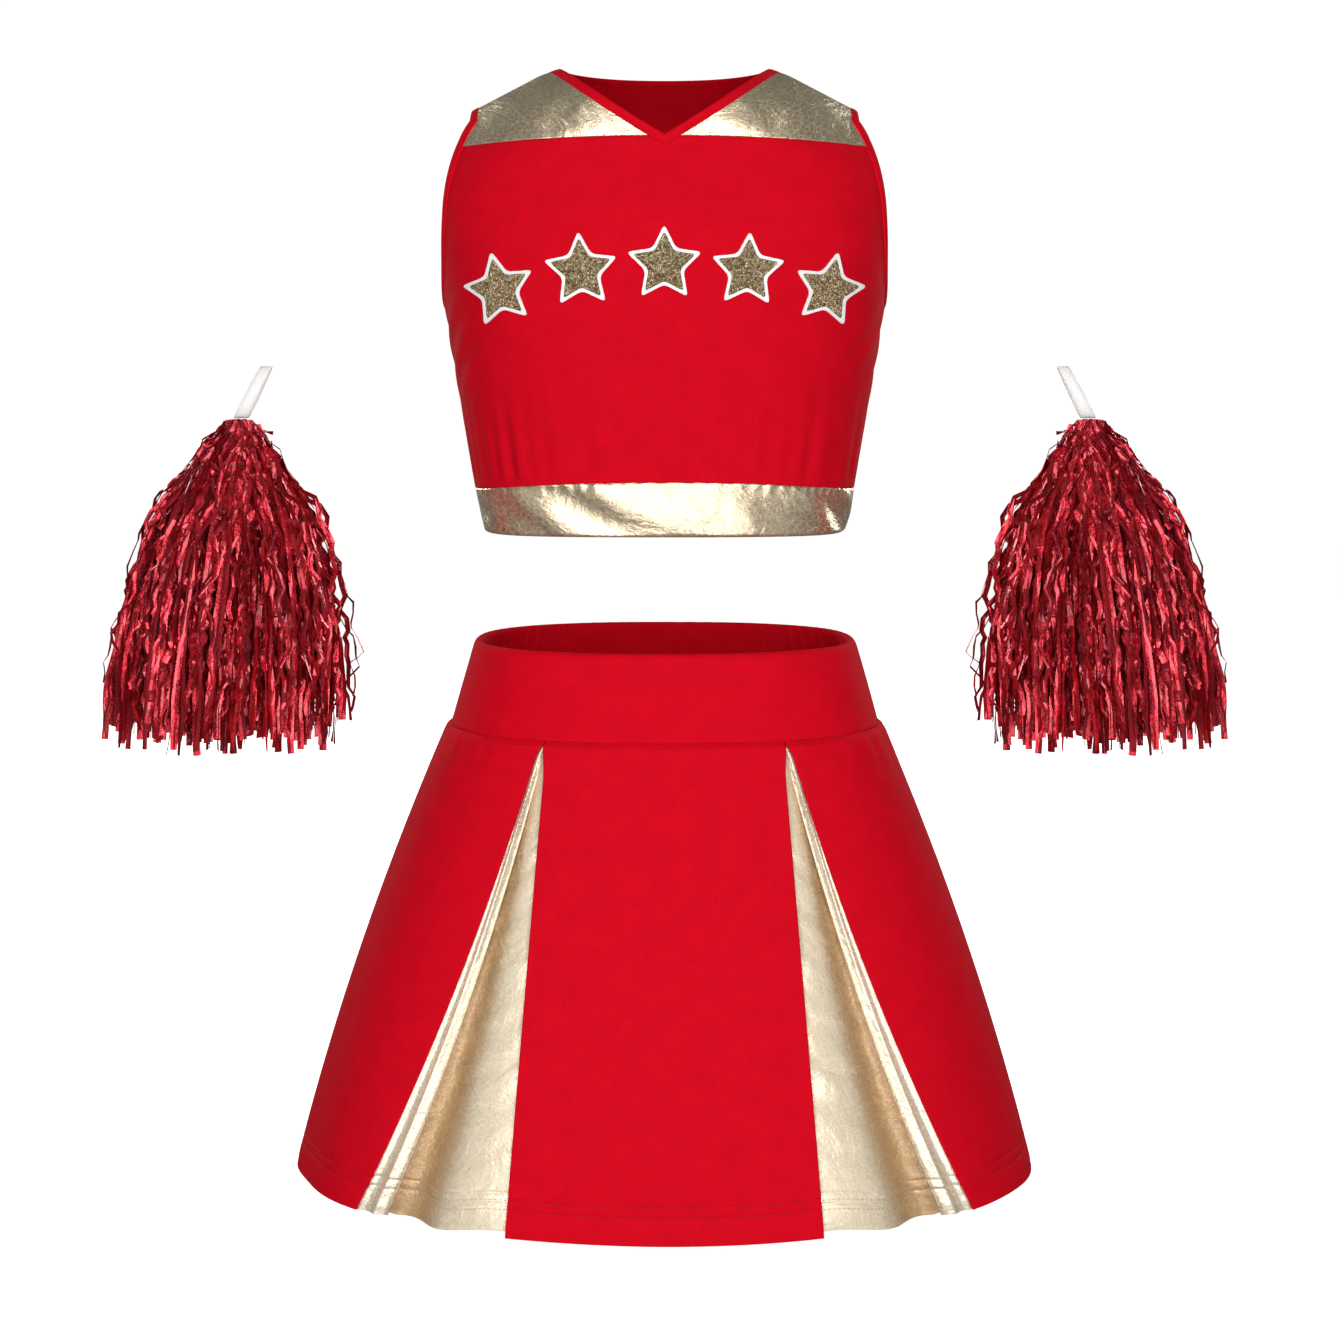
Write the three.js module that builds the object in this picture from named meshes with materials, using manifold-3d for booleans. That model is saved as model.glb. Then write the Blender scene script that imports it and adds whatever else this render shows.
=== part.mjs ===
// Cheer uniform: a sleeveless V-neck crop top with foil yokes and hem band, an A-line skirt with two
// foil pleats in its front, and a pair of tinsel pom-poms on strap loops, hung as they are worn.
// Millimetres, +Z up. The front faces -Y, and left and right are those of someone who faces it, so
// the left side is -X. The origin is the middle of the skirt's waist opening, where a wearer's waist is.
import * as THREE from "three";
import { mergeVertices } from "three/addons/utils/BufferGeometryUtils.js";
import Module from "manifold-3d";

const wasm = await Module();
wasm.setup();

// ---- Driving dimensions ----

const gap = 0.3; // between layers and edges that touch
const elasticPlay = 0.4; // between an elastic band and each layer of its casing
const cloth = 1.6; // one layer of knit or foil cloth
const elastic = 1.2; // thickness of an elastic band
const sectionPower = 2.4; // roundness of a body section: 2 is an ellipse, more is boxier

const top = {
  hemZ: 70, // at the side seams
  hemRise: 2, // how much higher the hem is at its middle
  bandHeight: 28, // at the side seams
  bandRise: 6, // how much taller the band is at its middle
  elasticTop: 0.94, // where the band's elastic ends, as a share of the band's height
  hemHalfWidth: 115.5,
  hemHalfDepth: 83,
  ribHalfWidth: 122.5,
  ribHalfDepth: 88,
  bustZ: 248,
  bustHalfWidth: 144,
  bustHalfDepth: 100,
  yokeFlare: 3, // how far the yokes stand outside the bust, side to side
  yokeHalfDepth: 80,
  yokeSeamZ: 314.5, // at the middle of the front
  yokeSeamDrop: 4, // how much lower that seam is at the armholes
  shoulderCurl: 55, // height over which the cloth turns back to the shoulder line
  shoulderTipInset: 23, // how far the shoulder's tip lies inside the bust, side to side
  shoulderTipZ: 334.5,
  shoulderSlope: 0.506,
  neckHalfWidth: 66,
  neckFrontZ: 315.5,
  neckFrontBow: 4, // how far the V's edges bow below straight lines
  neckBackZ: 357,
  neckBinding: 8,
  armholeBottomZ: 215,
  armholeTopZ: 342,
  armholeHalfWidth: 42,
  armholeBinding: 4,
  bindingProud: 0.7, // how far a folded binding stands proud of the cloth on each face
};
top.seamZ = top.hemZ + top.bandHeight;
top.yokeHalfWidth = top.bustHalfWidth + top.yokeFlare;
top.shoulderTipX = top.bustHalfWidth - top.shoulderTipInset;

const motif = {
  shoulderRoom: 21, // from the outermost star's middle to below the shoulder's tip
  centreZ: 237.5,
  drop: 15, // of the outermost stars under the middle one
  tilt: 12, // degrees, of the outermost stars
  fullness: 0.48, // radius of a star, as a share of the spacing
  waist: 0.48, // radius of the inner corners, as a share of the outer ones
  border: 4.2, // from the border's points to those of the glitter star in it
  borderFilm: 0.8,
  glitterFilm: 1,
};
motif.spacing = (top.shoulderTipX - motif.shoulderRoom) / 2;
motif.radius = motif.spacing * motif.fullness;

const waist = {
  topZ: 0,
  height: 54,
  topHalfWidth: 122.6,
  topHalfDepth: 86,
  seamHalfWidth: 138.5,
  seamHalfDepth: 97,
  elasticBottom: 0.9, // where the waistband's elastic ends, as a share of the waistband's height
};
waist.seamZ = waist.topZ - waist.height;

const skirt = {
  step: 2.5, // how far the skirt stands outside the waistband's lower edge
  length: 306.5, // from the waist seam to the hem at the middle
  hemRise: 13, // how much higher the hem is at the sides
  hemBend: 1.4, // over 1, most of that rise is near the sides
  hemHalfWidth: 244,
  hemHalfDepth: 139,
  bulge: 6.6, // how far the sides bow outside a straight cone
  frontTopHalfWidth: 73,
  frontHemHalfWidth: 99,
  pleatTopHalfWidth: 77,
  pleatMidHalfWidth: 122,
  pleatHemHalfWidth: 195,
  tuck: 9, // how far the pleat's cloth runs under the panels beside it
  foldDepth: 20, // how deep the pleat's fold is at the hem
  facingTop: 3,
  facingHem: 19,
  facingTuck: 5,
  insertShort: 3, // how much higher the pleat's own hem is
};

const pom = {
  tieX: 273,
  tieZ: 139,
  length: 205, // from the tie to the tips
  headRadius: 12,
  gripRadius: 16, // at the tie's lower edge
  neckRadius: 9,
  shoulderRadius: 33,
  waistRadius: 55,
  lowerRadius: 72.4,
  tipRadius: 77,
  depthRatio: 0.82,
  lean: 13, // how far the tips hang outside the tie
  skin: 1.5,
  coreShare: 0.78, // radius of the straight strands' bundle, as a share of the outer one's
  coreLonger: 6,
  tieHeight: 9,
  tieWall: 1.6,
};

const loop = {
  height: 33,
  halfWidth: 7,
  strap: 1.1, // thickness
  strapWidth: 10,
  lean: 17, // how far the loop's tip leans towards the garments
  fullness: 1.6, // roundness of its lower half
  rise: 2.6, // of its lowest point over the tie
};

// ---- Solids ----

const merged = (geometry) => {
  geometry.deleteAttribute("normal");
  geometry.deleteAttribute("uv");
  return mergeVertices(geometry, 1e-4);
};

// The solid of a closed geometry, with its faces turned to point out.
function solid(geometry) {
  const { attributes, index } = merged(geometry);
  const triVerts = new Uint32Array(index.array);
  const make = () =>
    new wasm.Manifold(
      new wasm.Mesh({ numProp: 3, vertProperties: attributes.position.array, triVerts }),
    );
  const first = make();
  if (first.volume() > 0) return first;
  for (let i = 0; i < triVerts.length; i += 3)
    [triVerts[i + 1], triVerts[i + 2]] = [triVerts[i + 2], triVerts[i + 1]];
  return make();
}

function geometryOf(body) {
  const { vertProperties, triVerts } = body.getMesh();
  const geometry = new THREE.BufferGeometry();
  geometry.setAttribute("position", new THREE.BufferAttribute(vertProperties, 3));
  geometry.setIndex(new THREE.BufferAttribute(triVerts, 1));
  geometry.computeVertexNormals();
  return geometry;
}

// Moves every point of a geometry to place(point), which returns [x, y, z].
function warp(geometry, place) {
  const points = geometry.attributes.position;
  const point = new THREE.Vector3();
  for (let i = 0; i < points.count; i++) {
    point.fromBufferAttribute(points, i);
    points.setXYZ(i, ...place(point));
  }
  return solid(geometry);
}

// A sheet of cloth: place(across, up, through) with each from 0 to 1, through 0 on the outside.
const sheet = (columns, rows, place) =>
  warp(new THREE.BoxGeometry(1, 1, 1, columns, rows, 1), (p) =>
    place(p.x + 0.5, p.y + 0.5, p.z + 0.5),
  );

const extrude = (shape, depth, steps = 1, curveSegments = 8) =>
  new THREE.ExtrudeGeometry(shape, { depth, steps, curveSegments, bevelEnabled: false });

// A strip of cross-section shape, in (inset, height from 0 to 1), bent along an angle.
const strip = (shape, steps, from, to, place) =>
  warp(extrude(shape, 1, steps), (p) => place(from + p.z * (to - from), p.y, p.x));

// A closed band, turned with a square section: place(angle, up, through).
function band(segments, place) {
  const square = [[1, 0], [2, 0], [2, 1], [1, 1], [1, 0]].map(([r, h]) => new THREE.Vector2(r, h));
  return warp(new THREE.LatheGeometry(square, segments), (p) =>
    place(Math.atan2(p.x, p.z), p.y, Math.hypot(p.x, p.z) > 1.5 ? 0 : 1),
  );
}

// Prisms of outlines drawn in the front view (x, z) and in the side view (y, z).
const frontPrism = (shape, y0, y1) =>
  warp(extrude(shape, y1 - y0, 1, 12), (p) => [p.x, y0 + p.z, p.y]);
const sidePrism = (shape, x0, x1) =>
  warp(extrude(shape, x1 - x0, 1, 24), (p) => [x0 + p.z, p.x, p.y]);

// The same piece for the other side of the body.
const mirrored = (body) => warp(geometryOf(body), (p) => [-p.x, p.y, p.z]);

const block = (x0, x1, y0, y1, z0, z1) =>
  warp(new THREE.BoxGeometry(1, 1, 1), (p) => [
    p.x < 0 ? x0 : x1,
    p.y < 0 ? y0 : y1,
    p.z < 0 ? z0 : z1,
  ]);

// ---- Shared curves ----

const mix = (a, b, t) => a + (b - a) * t;
const clamp = (value) => Math.min(Math.max(value, 0), 1);

// A smooth size through [height, size] stations, listed from the lowest up.
function through(stations) {
  const last = stations.length - 1;
  const slope = stations.map((_, i) => {
    const [h0, s0] = stations[Math.max(i - 1, 0)];
    const [h1, s1] = stations[Math.min(i + 1, last)];
    return (s1 - s0) / (h1 - h0);
  });
  return (height) => {
    const after = stations.findIndex(([h]) => h > height);
    const i = after < 0 ? last - 1 : Math.max(after - 1, 0);
    const [h0, s0] = stations[i];
    const [h1, s1] = stations[i + 1];
    const t = clamp((height - h0) / (h1 - h0));
    const bend = (slope[i] * (1 - t) - slope[i + 1] * t) * (h1 - h0) * t * (1 - t);
    return mix(s0, s1, t * t * (3 - 2 * t)) + bend;
  };
}

// A body section's point: angle 0 is the middle of the front, a quarter turn is the right side seam.
function section(angle, halfWidth, halfDepth) {
  const across = Math.sin(angle);
  const along = Math.cos(angle);
  return [
    Math.sign(across) * halfWidth * Math.abs(across) ** (2 / sectionPower),
    -Math.sign(along) * halfDepth * Math.abs(along) ** (2 / sectionPower),
  ];
}

// The angle of the section at which its half width reaches x.
const angleAt = (x, halfWidth) =>
  Math.sign(x) * Math.asin(Math.min(Math.abs(x) / halfWidth, 1) ** (sectionPower / 2));

// ---- Crop top ----

const topHalfWidth = through([
  [top.hemZ, top.hemHalfWidth],
  [top.seamZ + top.bandRise, top.ribHalfWidth],
  [top.bustZ, top.bustHalfWidth],
  [top.yokeSeamZ, top.yokeHalfWidth],
]);
const topHalfDepth = through([
  [top.hemZ, top.hemHalfDepth],
  [top.seamZ + top.bandRise, top.ribHalfDepth],
  [top.bustZ, top.bustHalfDepth],
  [top.yokeSeamZ, top.yokeHalfDepth],
]);
const middle = (angle) => Math.cos(angle) ** 2;
const topHemZ = (angle) => top.hemZ + top.hemRise * middle(angle);
const topSeamZ = (angle) => top.seamZ + (top.hemRise + top.bandRise) * middle(angle);
const shoulderZ = (x) =>
  top.shoulderTipZ + (top.shoulderTipX - Math.abs(x)) * top.shoulderSlope;

// The crop top's surface over its band: up is 0 at the band's seam and 1 at the shoulder line.
function torso(angle, up, inset) {
  const reach = Math.abs(Math.sin(angle)) ** (2 / sectionPower);
  const crest = shoulderZ(reach * top.yokeHalfWidth) - inset;
  const z = mix(topSeamZ(angle) + gap, crest, up);
  const curl = clamp(1 - (crest - z) / top.shoulderCurl);
  const depth = (topHalfDepth(z) - inset) * Math.sqrt(1 - curl ** 2);
  return [...section(angle, topHalfWidth(z) - inset, depth), z];
}

const shoulderCrowding = 1.6; // over 1, the rows of facets crowd towards the shoulder

// Half of the torso as a shell: facing -1 is the front and 1 the back.
function torsoShell(facing, outside, inside, columns = 20, rows = 14) {
  return sheet(columns, rows, (across, up, layer) => {
    const angle = (across - 0.5) * Math.PI;
    const closer = 1 - (1 - up) ** shoulderCrowding;
    const [x, y, z] = torso(angle, closer, mix(outside, inside, layer));
    return [x, -facing * y, z];
  });
}

// The neck's outline in front view, grown by extra all round. The front is a V and the back is flat.
function neckOutline(facing, extra) {
  const halfWidth = top.neckHalfWidth + extra;
  const tipZ = (facing < 0 ? top.neckFrontZ : top.neckBackZ) - extra;
  const crestZ = shoulderZ(halfWidth);
  const bow = facing < 0 ? top.neckFrontBow : 0;
  const above = shoulderZ(0);
  const shape = new THREE.Shape().moveTo(0, tipZ);
  shape.quadraticCurveTo(halfWidth / 2, mix(tipZ, crestZ, 0.5) - bow, halfWidth, crestZ);
  shape.lineTo(halfWidth, above).lineTo(-halfWidth, above).lineTo(-halfWidth, crestZ);
  shape.quadraticCurveTo(-halfWidth / 2, mix(tipZ, crestZ, 0.5) - bow, 0, tipZ);
  return shape;
}

const torsoReach = top.bustHalfDepth * 1.5; // past every point of the torso, front to back
const armReach = top.yokeHalfWidth * 1.2; // past every point of the torso, side to side

const neckHole = (facing, extra) =>
  facing < 0
    ? frontPrism(neckOutline(facing, extra), -torsoReach, 0)
    : frontPrism(neckOutline(facing, extra), 0, torsoReach);

// The left armhole's prism, an oval in side view, from the shoulder's tip outwards.
function armhole(extra) {
  const oval = new THREE.Shape().absellipse(
    0,
    (top.armholeTopZ + top.armholeBottomZ) / 2,
    top.armholeHalfWidth + extra,
    (top.armholeTopZ - top.armholeBottomZ) / 2 + extra,
    0,
    2 * Math.PI,
  );
  return sidePrism(oval, -armReach, extra - top.shoulderTipX);
}

// The part of the front that the yokes cover, or the part below them, with half a gap at the seam.
function yokeRegion(above) {
  const seam = (x) => top.yokeSeamZ - top.yokeSeamDrop * (x / top.shoulderTipX) ** 2;
  const offset = above ? gap / 2 : -gap / 2;
  const far = above ? shoulderZ(0) : top.hemZ - top.bandHeight;
  const steps = 8;
  const shape = new THREE.Shape().moveTo(-armReach, far);
  for (let i = 0; i <= steps; i++) {
    const x = mix(-armReach, armReach, i / steps);
    shape.lineTo(x, seam(x) + offset);
  }
  shape.lineTo(armReach, far);
  return frontPrism(shape, -torsoReach, torsoReach);
}

// Both halves of the torso stop half a gap short of the side seams and the shoulder line.
const seamSlot = () =>
  block(-2 * torsoReach, 2 * torsoReach, -gap / 2, gap / 2, top.hemZ, shoulderZ(0));

function torsoPanel(facing) {
  let panel = torsoShell(facing, 0, cloth).subtract(seamSlot());
  panel = panel.subtract(neckHole(facing, top.neckBinding + gap));
  const hole = armhole(top.armholeBinding + gap);
  return panel.subtract(hole).subtract(mirrored(hole));
}

const topFront = () => torsoPanel(-1).intersect(yokeRegion(false));
const topBack = () => torsoPanel(1);

function shoulderYoke() {
  const leftSide = block(-armReach, 0, -torsoReach, 0, top.hemZ, shoulderZ(0));
  return torsoPanel(-1).intersect(yokeRegion(true)).intersect(leftSide);
}

// A folded strip of knit around an edge: the ring between two outlines of the hole.
const bindingShell = (facing) =>
  torsoShell(facing, -top.bindingProud, cloth + top.bindingProud);

function neckBinding() {
  const [front, back] = [-1, 1].map((facing) =>
    bindingShell(facing)
      .intersect(neckHole(facing, top.neckBinding))
      .subtract(neckHole(facing, 0)),
  );
  return front.add(back);
}

function armholeBinding() {
  return bindingShell(-1)
    .add(bindingShell(1))
    .intersect(armhole(top.armholeBinding))
    .subtract(armhole(0));
}

// ---- Elastic casings: the hem band and the waistband ----

const casing = 2 * (cloth + elasticPlay) + elastic; // from the outer face to the inner one
const casingSteps = 16; // facets along half of a casing, and along half of its elastic
const casingFold = { cloth: 0.06, elastic: 0.08 }; // shares of its height where each starts inside

// A folded strip in (inset, height), its fold at height 0 and its open edge at height 1.
function foldedStrip() {
  const shape = new THREE.Shape().moveTo(0, 0).lineTo(casing, 0).lineTo(casing, 1);
  shape.lineTo(casing - cloth, 1).lineTo(casing - cloth, casingFold.cloth);
  return shape.lineTo(cloth, casingFold.cloth).lineTo(cloth, 1).lineTo(0, 1);
}

// Half of a casing: place(angle, height, inset) puts it on the body, fold first.
function casingHalf(facing, halfWidth, place) {
  const quarter = Math.PI / 2 - (gap / 2 / halfWidth) ** (sectionPower / 2);
  const turn = facing < 0 ? 0 : Math.PI;
  const half = strip(foldedStrip(), casingSteps, turn - quarter, turn + quarter, place);
  return half.subtract(
    block(-2 * halfWidth, 2 * halfWidth, -gap / 2, gap / 2, -halfWidth * 2, halfWidth * 4),
  );
}

// The elastic inside a casing: the casing's own place, between its two layers.
const casingElastic = (place, from, to) =>
  band(2 * casingSteps, (angle, up, layer) =>
    place(angle, mix(from, to, up), cloth + elasticPlay + elastic * layer),
  );

function onHemBand(angle, height, inset) {
  const z = mix(topHemZ(angle), topSeamZ(angle), height);
  return [...section(angle, topHalfWidth(z) - inset, topHalfDepth(z) - inset), z];
}

function onWaistband(angle, height, inset) {
  const halfWidth = mix(waist.topHalfWidth, waist.seamHalfWidth, height) - inset;
  const halfDepth = mix(waist.topHalfDepth, waist.seamHalfDepth, height) - inset;
  return [...section(angle, halfWidth, halfDepth), mix(waist.topZ, waist.seamZ, height)];
}

const hemBand = (facing) => casingHalf(facing, top.hemHalfWidth, onHemBand);
const waistband = (facing) => casingHalf(facing, waist.seamHalfWidth, onWaistband);
const hemElastic = () => casingElastic(onHemBand, casingFold.elastic, top.elasticTop);
const waistElastic = () => casingElastic(onWaistband, casingFold.elastic, waist.elasticBottom);

// ---- Star motif ----

function starShape(centreX, centreZ, tilt, radius) {
  const shape = new THREE.Shape();
  for (let i = 0; i < 10; i++) {
    const reach = i % 2 ? radius * motif.waist : radius;
    const turn = Math.PI / 2 + tilt + (i * Math.PI) / 5;
    const corner = [centreX + reach * Math.cos(turn), centreZ + reach * Math.sin(turn)];
    if (i) shape.lineTo(...corner);
    else shape.moveTo(...corner);
  }
  return shape;
}

// Star number place, from -2 to 2: its white border, or the glitter star that the border frames.
function star(place, isBorder) {
  const share = (place / 2) ** 2;
  const x = place * motif.spacing;
  const z = motif.centreZ - motif.drop * share;
  const tilt = -Math.sign(place) * THREE.MathUtils.degToRad(motif.tilt * share);
  const prism = (radius) => frontPrism(starShape(x, z, tilt, radius), -torsoReach, 0);
  // The film lies on the chest, so its inner face has the facets of the cloth's outer one.
  const film = torsoShell(-1, -gap, -gap - (isBorder ? motif.borderFilm : motif.glitterFilm));
  const inner = motif.radius - motif.border;
  if (isBorder) return film.intersect(prism(motif.radius)).subtract(prism(inner));
  return film.intersect(prism(inner - 2 * gap));
}

// ---- Skirt ----

const skirtTopZ = waist.seamZ - gap;
const drop = (angle) => skirt.length - skirt.hemRise * Math.abs(Math.sin(angle)) ** skirt.hemBend;

// The skirt's surface: down is 0 at the waist seam and 1 at the hem.
function onSkirt(angle, down, inset) {
  const bow = 4 * skirt.bulge * down * (1 - down);
  const topWidth = waist.seamHalfWidth + skirt.step;
  const topDepth = waist.seamHalfDepth + skirt.step;
  const halfWidth = mix(topWidth, skirt.hemHalfWidth, down) + bow - inset;
  const halfDepth = mix(topDepth, skirt.hemHalfDepth, down) + bow / 2 - inset;
  return [...section(angle, halfWidth, halfDepth), skirtTopZ - down * drop(angle)];
}

const skirtAngle = (x, down) => angleAt(x, onSkirt(Math.PI / 2, down, 0)[0]);

const frontEdge = (down) => mix(skirt.frontTopHalfWidth, skirt.frontHemHalfWidth, down);
const pleatEdge = (down) =>
  new THREE.QuadraticBezierCurve(
    new THREE.Vector2(0, skirt.pleatTopHalfWidth),
    new THREE.Vector2(0.5, skirt.pleatMidHalfWidth),
    new THREE.Vector2(1, skirt.pleatHemHalfWidth),
  ).getPoint(down).y;

// A panel of the skirt between two edges, each edge(down) giving its angle.
const skirtPanel = (columns, rows, fromEdge, toEdge, inset) =>
  sheet(columns, rows, (across, up, layer) => {
    const down = 1 - up;
    const angle = mix(fromEdge(down), toEdge(down), across);
    return onSkirt(angle, down, inset(across, down) + cloth * layer);
  });

const flush = () => 0;

function skirtFront() {
  const edge = (sign) => (down) => sign * skirtAngle(frontEdge(down), down);
  return skirtPanel(8, 8, edge(-1), edge(1), flush);
}

// Where a panel ends beside a side seam.
const seamAngle = (down) =>
  Math.PI / 2 - (gap / 2 / -onSkirt(0, down, 0)[1]) ** (sectionPower / 2);

function skirtSide() {
  const front = (down) => -skirtAngle(pleatEdge(down), down);
  const seam = (down) => -seamAngle(down);
  return skirtPanel(9, 8, front, seam, flush);
}

function skirtBack() {
  const edge = (sign) => (down) => Math.PI + sign * seamAngle(down);
  return skirtPanel(18, 8, edge(-1), edge(1), flush);
}

// The strip that faces the side panel's front edge and shows beside it.
function pleatFacing() {
  const inner = (down) =>
    -skirtAngle(pleatEdge(down) - mix(skirt.facingTop, skirt.facingHem, down), down);
  const outer = (down) => -skirtAngle(pleatEdge(down) + skirt.facingTuck, down);
  return skirtPanel(2, 8, inner, outer, () => cloth + gap);
}

// The pleat's own cloth: flat beside the front panel, then folded in deep under the side panel.
function pleatInsert() {
  const behind = 2 * (cloth + gap);
  const inner = (down) => -skirtAngle(frontEdge(down) - skirt.tuck, down);
  const outer = (down) => -skirtAngle(pleatEdge(down) + skirt.tuck, down);
  const fold = (across, down) =>
    behind + skirt.foldDepth * down * Math.sin(Math.PI * across ** 2) ** 2;
  const short = block(
    -skirt.hemHalfWidth * 2,
    skirt.hemHalfWidth * 2,
    -skirt.hemHalfDepth * 2,
    skirt.hemHalfDepth * 2,
    skirtTopZ - skirt.length * 2,
    skirtTopZ - skirt.length + skirt.hemRise / 2 + skirt.insertShort,
  );
  return skirtPanel(8, 8, inner, outer, fold).subtract(short);
}

// ---- Pom-poms ----

// A turned shape, its profile in (radius around its axis, height over the tie), hung on the left.
function turned(profile, segments = 16) {
  const points = profile.map(([r, h]) => new THREE.Vector2(r, h));
  return warp(new THREE.LatheGeometry(points, segments), (p) => [
    p.x - pom.tieX - pom.lean * clamp(-p.y / pom.length),
    p.z * pom.depthRatio,
    pom.tieZ + p.y,
  ]);
}

const bellShares = { shoulder: 0.16, waist: 0.33, lower: 0.65 }; // of the length, down from the tie

const bellRadius = through([
  [-pom.length, pom.tipRadius],
  [-pom.length * bellShares.lower, pom.lowerRadius],
  [-pom.length * bellShares.waist, pom.waistRadius],
  [-pom.length * bellShares.shoulder, pom.shoulderRadius],
  [-pom.tieHeight, pom.gripRadius],
  [-loop.rise, pom.headRadius],
]);

// Heights of a bell's rings, from its head to its tips.
const ringShares = [0.06, bellShares.shoulder, bellShares.waist, 0.5, 0.7, 1];
const bellHeights = (tip) => ringShares.map((share) => tip * share);

// The crinkled strands: an open bell over the tie.
function crinkledStrands() {
  const heights = bellHeights(-pom.length);
  const outside = heights.map((h) => [bellRadius(h), h]);
  const inside = heights.map((h) => [bellRadius(h) - pom.skin, h]).reverse();
  return turned([...outside, ...inside, outside[0]]);
}

// The straight strands: a bundle gathered to a neck that the tie grips, open below.
function straightStrands() {
  const heights = bellHeights(-pom.length - pom.coreLonger).slice(1);
  const radius = (h) => Math.max(bellRadius(h) * pom.coreShare, pom.neckRadius);
  const outside = heights.map((h) => [radius(h), h]);
  const inside = heights.map((h) => [radius(h) - pom.skin, h]).reverse();
  const neck = [
    [0, -loop.rise],
    [pom.neckRadius, -loop.rise],
    [pom.neckRadius, -loop.rise - pom.tieHeight - 2 * gap],
  ];
  const hollowTop = -loop.rise - 2 * pom.tieHeight;
  return turned([...neck, ...outside, ...inside, [0, hollowTop]]);
}

function tie() {
  const inner = pom.neckRadius + gap;
  const outer = inner + pom.tieWall;
  const high = -loop.rise - gap;
  const low = high - pom.tieHeight;
  return turned([
    [inner, low],
    [outer, low],
    [outer, high],
    [inner, high],
    [inner, low],
  ]);
}

// The strap loop: a flat strap folded over, its two ends meeting at the tie and its flat face in front.
function strapLoop() {
  const drawTeardrop = (path, inset) => {
    const low = loop.rise + inset;
    const high = loop.rise + loop.height - inset;
    const halfWidth = loop.halfWidth - inset;
    path.moveTo(0, low);
    path.bezierCurveTo(halfWidth * loop.fullness, low, halfWidth, high, 0, high);
    path.bezierCurveTo(-halfWidth, high, -halfWidth * loop.fullness, low, 0, low);
    return path;
  };
  const outline = drawTeardrop(new THREE.Shape(), 0);
  outline.holes.push(drawTeardrop(new THREE.Path(), loop.strap));
  return warp(extrude(outline, loop.strapWidth, 1, 10), (p) => [
    p.z - loop.strapWidth / 2 - pom.tieX + (loop.lean * p.y) / loop.height,
    -p.x,
    pom.tieZ + p.y,
  ]);
}

// ---- Materials ----

const finish = (color, roughness, metalness = 0) => ({ color, roughness, metalness });
const finishes = {
  knit: finish(0xd40a22, 0.8),
  foil: finish(0xc9a968, 0.35, 0.8),
  glitter: finish(0xa98a4e, 0.5, 0.7),
  white: finish(0xf4f1ea, 0.6),
  elastic: finish(0xe8e4da, 0.8),
  tinsel: finish(0xb01226, 0.25, 0.7),
  strap: finish(0xf1efe9, 0.4),
};

// ---- The uniform ----

function add(group, name, body, finishName) {
  const mesh = new THREE.Mesh(geometryOf(body), new THREE.MeshStandardMaterial(finishes[finishName]));
  mesh.name = name;
  group.add(mesh);
}

// A piece that the body has on both sides, from the solid of its left one.
function addPair(group, name, left, finishName) {
  add(group, `${name}_left`, left, finishName);
  add(group, `${name}_right`, mirrored(left), finishName);
}

function cropTop() {
  const group = new THREE.Group();
  add(group, "top_front", topFront(), "knit");
  add(group, "top_back", topBack(), "knit");
  add(group, "neck_binding", neckBinding(), "knit");
  add(group, "hem_band_front", hemBand(-1), "foil");
  add(group, "hem_band_back", hemBand(1), "foil");
  add(group, "hem_elastic", hemElastic(), "elastic");
  addPair(group, "shoulder_yoke", shoulderYoke(), "foil");
  addPair(group, "armhole_binding", armholeBinding(), "knit");
  for (let place = -2; place <= 2; place++) {
    add(group, `star_border_${place + 3}`, star(place, true), "white");
    add(group, `star_glitter_${place + 3}`, star(place, false), "glitter");
  }
  return group;
}

function pleatedSkirt() {
  const group = new THREE.Group();
  add(group, "waistband_front", waistband(-1), "knit");
  add(group, "waistband_back", waistband(1), "knit");
  add(group, "waist_elastic", waistElastic(), "elastic");
  add(group, "skirt_front_panel", skirtFront(), "knit");
  add(group, "skirt_back_panel", skirtBack(), "knit");
  addPair(group, "skirt_side_panel", skirtSide(), "knit");
  addPair(group, "pleat_facing", pleatFacing(), "foil");
  addPair(group, "pleat_insert", pleatInsert(), "foil");
  return group;
}

function pomPoms() {
  const group = new THREE.Group();
  addPair(group, "pom_loop", strapLoop(), "strap");
  addPair(group, "pom_tie", tie(), "elastic");
  addPair(group, "pom_crinkled_strands", crinkledStrands(), "tinsel");
  addPair(group, "pom_straight_strands", straightStrands(), "tinsel");
  return group;
}

const uniform = new THREE.Group();
uniform.add(cropTop(), pleatedSkirt(), pomPoms());

export default uniform;
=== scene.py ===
"""Cheer uniform: the finished cloth, foil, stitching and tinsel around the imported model."""
import math

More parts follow.
